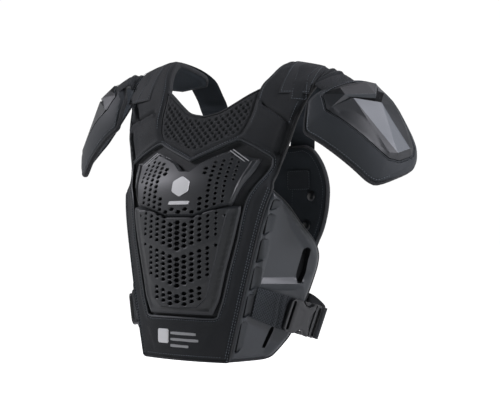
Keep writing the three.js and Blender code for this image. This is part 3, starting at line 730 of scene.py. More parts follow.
CLOTH = Finish("padded_cloth", "fabric", grey(0.0036), grey(0.0092), 0.68, Texture.WOVEN, 150.0, 0.16, 0.03, 0.2)
# Dark cloth of the bindings and piping; it is also painted into the channel round the plates as painted shade.
BINDING_AND_SHADE_CLOTH = Finish("binding_cloth", "fabric", grey(0.003), grey(0.008), 0.7, Texture.WOVEN, 150.0, 0.12, 0.02)
MOULDED = Finish("moulded_foam", "fabric", grey(0.0115), grey(0.018), 0.42, Texture.GRAINED, 160.0, 0.05, 0.03, 0.35)
LINING = Finish("lining_cloth", "fabric", grey(0.016), grey(0.03), 0.9, Texture.KNITTED, 45.0, 0.2, 0.0, 0.15)
KNIT = Finish("neck_knit", "knit", grey(0.0025), grey(0.011), 0.75, Texture.KNITTED, 62.0, 0.35, 0.04)
CAP_FOAM = Finish("cap_foam", "fabric", grey(0.0105), grey(0.018), 0.6, Texture.GRAINED, 160.0, 0.06, 0.03, 0.25)
# Near-black foam painted into recesses as painted shade: the wing's slots and bar strips and the cap's vent.
PAINTED_SHADE = Finish("moulded_painted_shade", "fabric", grey(0.0015), grey(0.003), 0.75, Texture.GRAINED, 160.0, 0.03, 0.0, 0.1)
SHELL = Finish("plate_satin", "plate", grey(0.006), grey(0.01), 0.5, Texture.GRAINED, 220.0, 0.03, 0.0, 0.38)
# Light grey painted on the cap plate's face as painted light, where the face turns towards the lamps.
FACE_PAINTED_LIGHT = Finish("plate_face_painted_light", "plate", grey(0.034), grey(0.046), 0.45, Texture.GRAINED, 220.0, 0.03, 0.0, 0.5)
BAND = Finish("webbing_weave", "webbing", grey(0.003), grey(0.012), 0.6, Texture.RIBBED, 62.0, 0.4, 0.02)
STRAP = Finish("strap_cloth", "webbing", grey(0.004), grey(0.01), 0.7, Texture.WOVEN, 150.0, 0.14, 0.02)
KNIT_BAND = Finish("cap_strap_knit", "webbing", grey(0.001), grey(0.014), 0.75, Texture.KNITTED, 24.0, 0.5, 0.03, 0.2)
ELASTIC = Finish("elastic_knit", "webbing", grey(0.001), grey(0.02), 0.75, Texture.KNITTED, 20.0, 0.8, 0.03, 0.2)
# Lighter grey painted on the vent's lip as a painted highlight, and dark grey painted on the hood as painted shade.
LIP_PAINTED_HIGHLIGHT = Finish("plate_lip_painted_highlight", "plate", grey(0.016), grey(0.022), 0.5, Texture.GRAINED, 220.0, 0.03, 0.0, 0.3)
HOOD_PAINTED_SHADE = Finish("plate_hood_painted_shade", "plate", grey(0.003), grey(0.005), 0.5, Texture.GRAINED, 220.0, 0.03, 0.0, 0.25)
THREAD = Finish("thread", "fabric", grey(0.055), grey(0.09), 0.55, Texture.RIBBED, 90.0, 0.1)
CLIP = Finish("buckle_plastic", "buckle", grey(0.003), grey(0.006), 0.42, Texture.GRAINED, 260.0, 0.03, 0.0, 0.45)
HOOKS = Finish("hook_tape", "hook", grey(0.012), grey(0.03), 0.9, Texture.KNITTED, 90.0, 0.5)
STUD = Finish("snap_enamel", "snap", grey(0.004), grey(0.006), 0.3, Texture.GRAINED, 60.0, 0.0, 0.0, 0.5, 0.1)
PALE_LINE = Finish("pale_line", "plate", grey(0.2, 1.05), grey(0.26, 1.05), 0.45, Texture.GRAINED, 120.0, 0.01)
PALE_DIM = Finish("pale_label", "fabric", grey(0.16, 1.05), grey(0.22, 1.05), 0.6, Texture.WOVEN, 150.0, 0.05)
PALE = Finish("pale_print", "plate", grey(0.42, 1.02), grey(0.5, 1.02), 0.45, Texture.GRAINED, 120.0, 0.01)


def dress(obj: bpy.types.Object, finish: Finish, *nodes: str, fill: float | None = None) -> bpy.types.Object:
    """Give a piece its finish and its place in the frame.

    Args:
        obj: The piece.
        finish: Its finish.
        nodes: CAD nodes that it stands for.
        fill: How full it is, for a padded piece; not used.

    Returns:
        The piece.
    """
    if not obj.data.materials:
        obj.data.materials.append(finish.material())
    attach(obj, "root")
    if nodes:
        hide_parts(*nodes)
    LOG.info("%s: %d faces", obj.name, len(obj.data.polygons))
    return obj


# Stitches and trims

STITCH_PITCH, STITCH_LENGTH, THREAD_RADIUS, RUN_STEP = 4.2, 2.9, 0.5, 4.0


class Stitcher:
    """Lays stitches along lines with a node tree."""

    def __init__(self) -> None:
        """Build the tree."""
        kinds = {"Geometry": "Geometry", "Pitch": "Float", "Length": "Float", "Thread": "Float", "Material": "Material"}
        n, self.keys = node_group("stitch_run", "GeometryNodeTree", kinds, ("Geometry", "Geometry"))
        self.tree = n.tree
        given = n.add("NodeGroupInput").outputs
        curve = n.add("GeometryNodeMeshToCurve", {"Mesh": given["Geometry"]}).outputs["Curve"]
        spaced = n.add("GeometryNodeResampleCurve", {"Curve": curve, "Length": given["Pitch"]}, mode="LENGTH")
        tangent = n.add("GeometryNodeInputTangent").outputs["Tangent"]
        turn = n.add("FunctionNodeAlignRotationToVector", {"Vector": tangent}, axis="X")
        ball = n.add("GeometryNodeMeshUVSphere", {"Segments": 6, "Rings": 4, "Radius": 1.0})
        half = n.math("MULTIPLY", given["Length"], 0.5)
        size = n.add("ShaderNodeCombineXYZ", {"X": half, "Y": given["Thread"], "Z": given["Thread"]})
        laid = n.add("GeometryNodeInstanceOnPoints", {
            "Points": spaced.outputs["Curve"], "Instance": ball.outputs["Mesh"],
            "Rotation": turn.outputs["Rotation"], "Scale": size.outputs["Vector"],
        })
        real = n.add("GeometryNodeRealizeInstances", {"Geometry": laid.outputs["Instances"]}).outputs["Geometry"]
        dyed = n.add("GeometryNodeSetMaterial", {"Geometry": real, "Material": given["Material"]})
        n.add("NodeGroupOutput", {"Geometry": dyed.outputs["Geometry"]})

    def sew(self, name: str, runs: Sequence[Run]) -> None:
        """Sew lines of stitches as one piece.

        Args:
            name: Name of the piece.
            runs: Surface, pattern line, height and whether it is closed, for each line.
        """
        verts: list[np.ndarray] = []
        edges: list[tuple[int, int]] = []
        count = 0
        for surface, line, h, closed in runs:
            p = resampled(np.asarray(line, float), RUN_STEP, closed)
            verts.append(surface.place(p, h) * MM)
            n = len(p)
            edges += [(count + k, count + (k + 1) % n) for k in range(n if closed else n - 1)]
            count += n
        mesh = bpy.data.meshes.new(name + "_run")
        mesh.from_pydata(np.concatenate(verts).tolist(), edges, [])
        run = linked(name + "_run", mesh)
        modifier = run.modifiers.new("stitch_run", "NODES")
        modifier.node_group = self.tree
        modifier[self.keys["Material"]] = THREAD.material()
        for key, size in (("Pitch", STITCH_PITCH), ("Length", STITCH_LENGTH), ("Thread", THREAD_RADIUS)):
            modifier[self.keys[key]] = size * MM
        made = bpy.data.meshes.new_from_object(run.evaluated_get(bpy.context.evaluated_depsgraph_get()))
        bpy.data.objects.remove(run)
        made.polygons.foreach_set("use_smooth", [True] * len(made.polygons))
        dress(linked(name, made), THREAD)


def trim(name: str, surface: Surface, line: np.ndarray, h: Height | float, profile: np.ndarray,
         closed: bool = True, finish: Finish = BINDING_AND_SHADE_CLOTH) -> None:
    """Lay a binding or a piping along a pattern line."""
    dress(on_surface_sweep(name, surface, line, h, profile, closed), finish)


WIDE_BINDING, WING_BINDING, NARROW_BINDING = ellipse(2.6, 4.6), ellipse(2.6, 4.4), ellipse(2.4, 4.2)


# Pattern tables, as shares of the front's run and of the half width

ARMHOLE = (
    (0.556, 1.0), (0.581, 0.979), (0.608, 1.0), (0.643, 1.021), (0.68, 1.05), (0.741, 1.093), (0.818, 1.15),
    (0.886, 1.215), (0.943, 1.255), (1.001, 1.27), (1.078, 1.25), (1.136, 1.16), (1.167, 1.0),
)
NECKLINE = (
    (0.637, 0.0), (0.674, 0.271), (0.691, 0.414), (0.705, 0.514), (0.732, 0.571), (0.78, 0.614), (0.841, 0.614),
    (0.878, 0.629), (0.92, 0.693), (0.972, 0.729), (1.011, 0.75), (1.078, 0.714), (1.136, 0.629), (1.167, 0.686),
)
COLLAR = ((0.772, 0.0), (0.782, 0.2), (0.811, 0.357), (0.843, 0.521), (0.859, 0.614))
BACK_EDGE = (
    (1.38, 0.629), (1.392, 0.736), (1.415, 0.814), (1.442, 0.879), (1.479, 0.936), (1.521, 0.964), (1.583, 0.943),
    (1.648, 0.879), (1.696, 0.779), (1.762, 0.714), (1.829, 0.65), (1.895, 0.594), (1.955, 0.543),
)
WING_EDGE = (
    (0.106, 0.837), (0.223, 0.96), (0.3, 1.0), (0.339, 0.984), (0.374, 0.886), (0.433, 0.585), (0.508, 0.276),
)
CHEST_PLATE = (
    (0.0, 0.447, 0.584), (0.057, 0.447, 0.584), (0.164, 0.447, 0.613), (0.329, 0.462, 0.638),
    (0.493, 0.477, 0.658), (0.55, 0.481, 0.651), (0.607, 0.481, 0.644), (0.721, 0.56, 0.637), (0.825, 0.634, 0.639),
)
BELLY_PLATE = (
    (0.0, 0.17, 0.445), (0.086, 0.17, 0.445), (0.164, 0.17, 0.445), (0.257, 0.17, 0.453), (0.336, 0.17, 0.461),
    (0.4, 0.17, 0.466), (0.479, 0.214, 0.474), (0.55, 0.3, 0.478), (0.636, 0.383, 0.48), (0.7, 0.462, 0.481),
)

TAPE = ((0.37, 1.455), (0.72, 1.52))
SNAPS = (("upper", 0.735, 1.54), ("lower", 0.665, 1.635))
SPINE = ((1.47, 0.0), (1.47, 34.0), (1.56, 48.0), (1.84, 34.0), (1.87, 0.0))
WEBBING_ENDS = (1.845, 1.94)
SNAP_PROFILE = (
    (0.98, 0.0), (1.0, 0.15), (0.97, 0.4), (0.86, 0.66), (0.68, 0.85), (0.46, 0.96), (0.22, 1.0),
)
SNAP_SIDES = 28


def along(share: float) -> float:
    """Place along the body from a share of the front's run."""
    return share * BODY.apex


def across(share: float) -> float:
    """Place across the body from a share of the half width."""
    return share * BODY.half_width


def pattern_line(table: Sequence[tuple[float, float]]) -> np.ndarray:
    """Pattern line from rows of along and across shares."""
    return np.array([(across(s), along(v)) for v, s in table])


def smooth_line(table: Sequence[tuple[float, float]]) -> np.ndarray:
    """Pattern line from a table, its corners cut round."""
    return rounded(pattern_line(table), 2, closed=False)


def plate_outline(table: Sequence[tuple[float, float, float]]) -> np.ndarray:
    """Closed outline of a plate from its across, bottom and top shares."""
    bottom = [(across(s), along(low)) for s, low, _ in table]
    top = [(across(s), along(high)) for s, _, high in table]
    return whole(bottom + top[::-1])


def ripple(p: np.ndarray, size: float) -> np.ndarray:
    """Gentle unevenness of stuffed cloth."""
    x, y = p[:, 0], p[:, 1]
    waves = np.sin(x * 0.11 + y * 0.05) + np.sin(x * -0.06 + y * 0.13 + 1.3) + np.sin(x * 0.17 - y * 0.09 + 4.0)
    return size * waves / 3


# Front panel

@dataclass
class FrontPanel:
    """The padded front with both yokes, its binding, creases and stitching.

    Attributes:
        thick: Thickness of the padding.
        hem: Height of its lower edge along the pattern.
        yoke_rise: How much thicker the yokes are.
        roll: Width over which the padding thins to its edge.
        edge_drop: How far the padding sinks at its edge.
        channel_depth: Depth of the channel round the plates.
        channel_lip: Height of the ridge beside the channel.
        crease_depth: Depth of a pressed crease.
        flap_rise: Height of the strap flaps.
        tallest: Greatest height of the face.
        inset: Distance of the stitches from the edge.
    """

    thick: float = 12.0
    hem: float = 20.0
    yoke_rise: float = 4.0
    roll: float = 8.0
    edge_drop: float = 3.2
    channel_depth: float = 3.4
    channel_lip: float = 2.2
    crease_depth: float = 5.0
    flap_rise: float = 1.6
    tallest: float = 6.5
    inset: float = 6.0

    def __post_init__(self) -> None:
        """Lay out its outline and its seams."""
        self.neckline = smooth_line(NECKLINE)
        seam = [(float(BODY.seam(v)), v) for v in np.linspace(self.hem, BODY.wing_top - 8, 12)]
        half = np.concatenate([[(0, self.hem)], seam, smooth_line(ARMHOLE), self.neckline[::-1]])
        self.outline = whole(half)
        channel = [(0, 84), (62, 83.5), (71.5, 111), (82, 156), (93.5, 199), (104.5, 261), (132, 324), (131, 336),
                   (73, 360), (37, 340), (0, 321)]
        self.plate_gap = whole(rounded(channel, 1, closed=False, cut=0.08))
        self.creases = [
            np.array(line, float) for line in (
                [(97.5, 420), (145.8, 391), (136.3, 344.8)], [(-157, 403), (-106.7, 417)],
                [(-145.8, 388), (-136.3, 344.8)], [(-188.5, 514.6), (-166, 462), (-141.8, 413.8)],
            )
        ]
        self.flaps = [
            np.array([(142, 424.5), (170.8, 422), (160, 474), (172, 528), (133, 528), (133.8, 489)], float),
            np.array([(-151, 424), (-176, 432), (-176, 528), (-140, 528), (-140, 470)], float),
        ]
        self.mark = np.array([(121, 480), (116.7, 491), (131.7, 495), (135.8, 484)], float)
        self.label_flap = np.array([(-66, 67.4), (55.8, 60.7), (34.3, 31.7), (-50, 31.7)], float)

    def rise(self, p: np.ndarray) -> np.ndarray:
        """Height of the yoke over the chest."""
        return self.yoke_rise * np.clip((p[:, 1] - along(0.66)) / along(0.07), 0, 1)

    def top(self, p: np.ndarray) -> np.ndarray:
        """Outer face."""
        h = self.rise(p) - self.edge_drop * near_edge(p, self.outline, self.roll) + ripple(p, 0.35)
        in_gap, to_gap = inside(p, self.plate_gap), distance(p, self.plate_gap)
        h = np.where(in_gap, np.minimum(h, -self.channel_depth * ease(depth_in(p, self.plate_gap), 0, 2.5)), h)
        h += self.channel_lip * bump(to_gap - 5.5, 4.0) * ~in_gap - 2.6 * bump(to_gap, 1.8)
        for crease in self.creases:
            away = distance(p, crease, closed=False)
            above = distance(p, crease + 1.0, closed=False) < distance(p, crease - 1.0, closed=False)
            h += 1.4 * bump(away - 5, 4) - self.crease_depth * np.where(above, np.exp(-away / 10), np.exp(-away / 2.2))
        for flap in self.flaps:
            h += self.flap_rise * ease(depth_in(p, flap), -0.5, 0.7)
        h += 1.0 * ease(depth_in(p, self.label_flap), -1.2, 1.6) * ~in_gap
        h -= 0.7 * bump(distance(p, self.mark), 1.1)
        return np.minimum(h, self.tallest)

    def under(self, p: np.ndarray) -> np.ndarray:
        """Inner face."""
        return -self.thick + self.edge_drop * near_edge(p, self.outline, self.roll) + ripple(p + 40, 0.25)

    def seamlines(self) -> list[Run]:
        """Lines of stitches on the panel."""
        out: list[Run] = [(BODY, offset_line(self.plate_gap, -4.5), 1.9, True)]
        yoke = self.yoke_rise - 0.9
        for side in Side:
            turn, inward = np.array([side.value, 1]), np.array([side.value * self.inset, 0])
            seam = np.array([(side.value * (float(BODY.seam(v)) - 6.5), v) for v in np.linspace(26, 284, 20)])
            out.append((BODY, seam, 0.1, False))
            for line in (smooth_line(ARMHOLE) * turn - inward, self.neckline * turn + inward):
                out.append((BODY, line[line[:, 1] > along(0.74)], yoke, False))
        out += [(BODY, offset_line(flap, 3.0), self.yoke_rise + 1.2, True) for flap in self.flaps]
        out.append((BODY, np.array([(-66, 26.5), (0, 26.5), (66, 26.5)]), -0.4, False))
        return out

    def build(self, stitcher: Stitcher) -> None:
        """Make and dress its pieces."""
        lines = [(self.plate_gap, True), *((c, False) for c in self.creases), *((f, True) for f in self.flaps),
                 (self.mark, True), (self.label_flap, True)]
        pad = Panel("front_padding", BODY, self.outline, self.top, self.under, 3.2, lines=lines).build()
        dress(pad, CLOTH, "front_pad", fill=0.8)
        # The sunken channel round the plates is painted with the dark binding cloth as painted shade.
        paint(pad, BINDING_AND_SHADE_CLOTH, self.plate_gap)
        paint(pad, LINING, inner=True)
        trim("front_binding", BODY, self.outline, lambda p: (self.rise(p) - self.thick) / 2, WIDE_BINDING)
        trim("channel_piping", BODY, offset_line(self.plate_gap, -1.2), 0.9, ellipse(1.8, 1.8, 8), finish=MOULDED)
        stitcher.sew("front_stitches", self.seamlines())


def paint(obj: bpy.types.Object, finish: Finish, loop: np.ndarray | None = None, inner: bool = False) -> None:
    """Give some faces of a panel another finish.

    Args:
        obj: A panel, whose outer faces come first, then as many inner ones.
        finish: The finish.
        loop: Pattern loop that the faces lie in, or none for all.
        inner: Whether the inner faces are meant.
    """
    mesh = obj.data
    mesh.materials.append(finish.material())
    count = int(obj["outer_faces"])
    uv = np.empty(len(mesh.loops) * 2)
    mesh.uv_layers["pattern"].data.foreach_get("uv", uv)
    starts = np.array([f.loop_start for f in mesh.polygons])
    sizes = np.array([f.loop_total for f in mesh.polygons])
    middle = np.add.reduceat(uv.reshape(-1, 2) / UV_PER_MM, starts, axis=0) / sizes[:, None]
    span = slice(count, 2 * count) if inner else slice(0, count)
    hit = np.zeros(len(sizes), bool)
    hit[span] = True if loop is None else inside(middle[span], np.asarray(loop, float))
    for k in np.nonzero(hit)[0]:
        mesh.polygons[int(k)].material_index = len(mesh.materials) - 1


def offset_line(loop: np.ndarray, by: float) -> np.ndarray:
    """Closed loop moved in by a distance, or out where it is negative."""
    p = np.asarray(loop, float)
    ahead = np.roll(p, -1, axis=0) - p
    ahead /= np.maximum(np.linalg.norm(ahead, axis=1, keepdims=True), 1e-9)
    normal = np.stack([-ahead[:, 1], ahead[:, 0]], axis=1)
    area = float(np.sum(p[:, 0] * np.roll(p[:, 1], -1) - np.roll(p[:, 0], -1) * p[:, 1]))
    if area < 0:
        normal = -normal
    mean = normal + np.roll(normal, 1, axis=0)
    size = np.maximum(np.sum(mean * mean, axis=1, keepdims=True) / 2, 0.5)
    return p + mean / size * by


@dataclass
class NeckMesh:
    """Knitted panel that closes the neck below the collar.

    Attributes:
        thick: Its thickness.
        pitch: Distance between its dimples.
        dimple: Depth of a dimple.
    """

    thick: float = 7.0
    pitch: float = 6.08
    dimple: float = 2.4

    def build(self, neckline: np.ndarray, stitcher: Stitcher) -> None:
        """Make and dress the panel.

        Args:
            neckline: Half of the front's neckline.
            stitcher: Sews its edges.
        """
        collar = smooth_line(COLLAR)
        lower = neckline[neckline[:, 1] < collar[-1][1] - 4]
        half = np.concatenate([lower + np.array([-0.4, 0.6]) * (np.arange(len(lower)) > 0)[:, None], collar[::-1]])
        half[0] = (0, lower[0][1] + 0.8)
        outline = whole(half)

        def top(p: np.ndarray) -> np.ndarray:
            """Outer face, dimpled away from its edge."""
            edge = distance(p, outline)
            one, two = (np.sin(math.pi * lean / (2 * self.pitch)) for lean in (p[:, 0] + p[:, 1], p[:, 0] - p[:, 1]))
            cell = ease(np.abs(one * two), 0.25, 0.85)
            return 0.8 - self.dimple * cell * ease(edge, 5, 9) - 2.0 * (1 - ease(edge, 0, 5))

        panel = Panel("neck_knit_panel", BODY, outline, top, flat(-self.thick), 1.8).build()
        dress(panel, KNIT, "neck_mesh", fill=0.5)
        rim = np.concatenate([mirrored(collar)[::-1], collar[1:]])
        trim("collar_binding", BODY, rim, -2.8, NARROW_BINDING, False)
        stitcher.sew("collar_stitches", [(BODY, rim - np.array([0, 5.0]), -0.1, False)])


# Pierced plates

HOLE_ROW, HOLE_LEAD, HOLE_RING = 7.8, 1.1, 1.1
PLATE_SEAT, PLATE_LEAST = 0.98, 2.4


def hexagon(s: float, v: float, wide: float, tall: float) -> np.ndarray:
    """Six-sided loop with corners left and right."""
    a = np.arange(6) * math.pi / 3
    return np.stack([s + wide / 2 * np.cos(a), v + tall / 2 * np.sin(a) / math.sin(math.pi / 3)], axis=1)


@dataclass
class PiercedPlate:
    """A moulded plate with a sloping border and rows of holes.

    Attributes:
        name: Name of the piece.
        node: CAD node that it stands for.
        outline: Closed outline.
        rise: Height of its face.
        bevel: Width of the sloping border.
        edge: Height of the border at its foot.
        holes: Middle, width and height of each hole.
        shape: Extra height of the face.
        folds: Feature lines of the face.
    """

    name: str
    node: str
    outline: np.ndarray
    rise: float
    bevel: float
    edge: float
    holes: list[tuple[float, float, float, float]]
    shape: Height
    folds: list[tuple[np.ndarray, bool]]

    def top(self, p: np.ndarray) -> np.ndarray:
        """Outer face, sunk around each hole."""
        share = np.clip(distance(p, self.outline) / self.bevel, 0, 1)
        h = np.maximum(self.edge + (self.rise - self.edge) * share + self.shape(p), PLATE_LEAST)
        gap = np.full(len(p), 1e9)
        for s, v, wide, tall in self.holes:
            near = np.abs(p[:, 0] - s) < wide
            r = np.hypot((p[near, 0] - s) / (wide / 2), (p[near, 1] - v) / (tall / 2))
            gap[near] = np.minimum(gap[near], (r - 1) * wide / 2)
        return h - HOLE_LEAD * (1 - ease(gap, 0.0, 1.3))

    def under(self, p: np.ndarray) -> np.ndarray:
        """Inner face."""
        return PLATE_SEAT + np.clip(distance(p, self.outline) / self.bevel, 0, 1)

    def build(self) -> None:
        """Make and dress the plate."""
        loops = [hexagon(*hole) for hole in self.holes]
        rings = [(hexagon(s, v, w + 2 * HOLE_RING, t + 2 * HOLE_RING), True) for s, v, w, t in self.holes]
        inner = [(offset_line(self.outline, by), True) for by in (self.bevel, self.bevel + 0.8)]
        plate = Panel(self.name, BODY, self.outline, self.top, self.under, 3.0, loops, rings + inner + self.folds, 17.0)
        dress(plate.build(), SHELL, self.node)


def chest_plate() -> PiercedPlate:
    """The upper plate with its V neck and stepped lower edge."""
    outline = rounded(plate_outline(CHEST_PLATE), 1, cut=0.12)
    hole_field = whole([(0, 235), (25, 234.5), (61, 243), (79, 256), (86, 300), (97, 322), (98, 324), (70, 336),
                        (8, 297), (0, 297)])
    bare_middle = hexagon(0, 276, 84, 54)
    strip = np.array([(100.5, 325.5), (112.4, 331.7), (93.4, 255.9), (81.5, 249.7)])
    strips = (strip, mirrored(strip))
    strip_rise, strip_wall = 2.2, 3.0
    lean, lean_from, lean_run = 4.2, 272.0, 60.0
    column, first_row = 11.8, 239.5
    holes = []
    for k in range(-9, 10):
        wide, tall = 9.4 - 0.72 * abs(k), 5.6 - 0.3 * abs(k)
        for j in range(16):
            s, v = k * column, first_row + HOLE_ROW * (j + (k % 2) / 2)
            spot = np.array([(s, v)])
            if depth_in(spot, hole_field)[0] > tall / 2 and depth_in(spot, bare_middle)[0] < -wide / 2:
                holes.append((s, v, wide, tall))

    def shape(p: np.ndarray) -> np.ndarray:
        """Raised side strips, and a top that leans back."""
        raised = np.max([np.clip(depth_in(p, loop) / strip_wall, 0, 1) for loop in strips], axis=0)
        return strip_rise * raised - lean * np.clip((p[:, 1] - lean_from) / lean_run, 0, 1) ** 2

    folds = [(loop, True) for loop in (*strips, *(offset_line(loop, strip_wall) for loop in strips))]
    return PiercedPlate("chest_shell", "chest_plate", outline, 8.0, 4.0, 3.4, holes, shape, folds)


def belly_plate() -> PiercedPlate:
    """The lower plate with three fields of holes."""
    outline = rounded(plate_outline(BELLY_PLATE), 1, cut=0.12)
    tongue = whole([(0, 97), (32.5, 98.6), (48, 112), (77, 228), (80, 243), (0, 243)])
    tongue_step, step_wall, border_sink, border_fall, rim_rise = 2.2, 1.2, 1.8, 3.8, 1.8
    band_low = np.array([(-62, 141), (0, 119.5), (62, 141)], float)
    band_high = np.array([(-76, 202), (0, 176), (76, 202)], float)
    column, column_rise, first_row = 12.6, 4.4, 224.0
    under_chest, chest_half = along(0.447) - 4, 20.0
    holes = []
    for k in range(-6, 7):
        size = 10.4 - 1.15 * abs(k)
        for j in range(-2, 19):
            course = first_row - HOLE_ROW * j
            s, v = k * column, course + abs(k) * column_rise
            in_band = 172 < course < 180 or 116 < course < 124
            in_tongue = depth_in(np.array([(s, v)]), tongue)[0] > size * 0.3 + 1.5
            if size > 3 and in_tongue and not in_band and (v < under_chest or abs(s) > chest_half):
                holes.append((s, v, size, 6.3 - 0.5 * abs(k)))

    def shape(p: np.ndarray) -> np.ndarray:
        """Raised tongue with two bands, sloping border and rim."""
        inset = depth_in(p, tongue)
        edge = distance(p, outline)
        bands = sum(bump(distance(p, line, closed=False), 4.5) for line in (band_low, band_high))
        slope = edge / np.maximum(edge - np.minimum(inset, 0), 1e-6)
        rim = rim_rise * np.clip(1.5 - np.abs(edge - 4.5) / 3, 0, 1)
        face = tongue_step * np.clip(inset / step_wall, 0, 1) + bands * ease(inset, 0, 6) + np.clip(inset / 40, 0, 1)
        return np.where(inset > 0, face, rim - border_fall * (1 - slope)) - border_sink

    folds = [(loop, True) for loop in (tongue, offset_line(tongue, step_wall), offset_line(outline, 7.5))]
    return PiercedPlate("abdomen_shell", "abdomen_plate", outline, 8.0, 2.0, 6.6, holes, shape, folds)


def build_marks() -> None:
    """Plain badge, bars and hem label."""
    def mark(name: str, loop: Line, low: float, high: float, finish: Finish) -> None:
        """Make one flat mark between two heights."""
        line = rounded(loop, 1, cut=0.1)

        def top(p: np.ndarray) -> np.ndarray:
            """Face with a sloping edge."""
            return low + (high - low) * np.clip(distance(p, line) / bevel, 0.2, 1)

        piece = Panel(name, BODY, line, top, flat(low - 0.4), 3.0, lines=[(offset_line(line, bevel), True)])
        dress(piece.build(), finish)

    bevel = 0.8
    badge = [(-15, 269), (-15, 284), (0, 292), (15, 284), (15, 269), (0, 261)]
    mark("badge_plain", badge, 7.6, 9.0, PALE)
    mark("badge_bar", [(-19, 250), (-17, 255), (19, 255), (17, 250)], 8.1, 9.0, PALE)
    for side in Side:
        for n, (x0, y0, x1, y1) in enumerate(((69.5, 341.6, 98.0, 325.2), (65.5, 339.2, 93.5, 322.6))):
            bar = [(side.value * x, y) for x, y in ((x0, y0), (x1, y1), (x1 - 0.5, y1 - 1.5), (x0 - 0.5, y0 - 1.5))]
            mark(f"chest_line_{side.word}_{n + 1}", bar, 4.6, 5.3, PALE_LINE)
    mark("label_square", [(-42.7, 43), (-21.2, 43), (-21.2, 64.5), (-42.7, 64.5)], 0.9, 1.5, PALE)
    for n, (length, v) in enumerate(((46.0, 59.0), (50.0, 49.6), (33.0, 40.2))):
        bar = [(-18, v - 2.3), (-18 + length, v - 2.6), (-18 + length, v + 1.6), (-18, v + 2.3)]
        mark(f"label_bar_{n + 1}", bar, 0.9, 1.4, PALE_DIM)


# Side wings

def wing_line(side: Side, places: Line) -> np.ndarray:
    """Pattern line from distances behind the wing's seam and places along."""
    p = np.asarray(places, float)
    return np.stack([side.value * (BODY.seam(p[:, 1]) + p[:, 0]), p[:, 1]], axis=1)


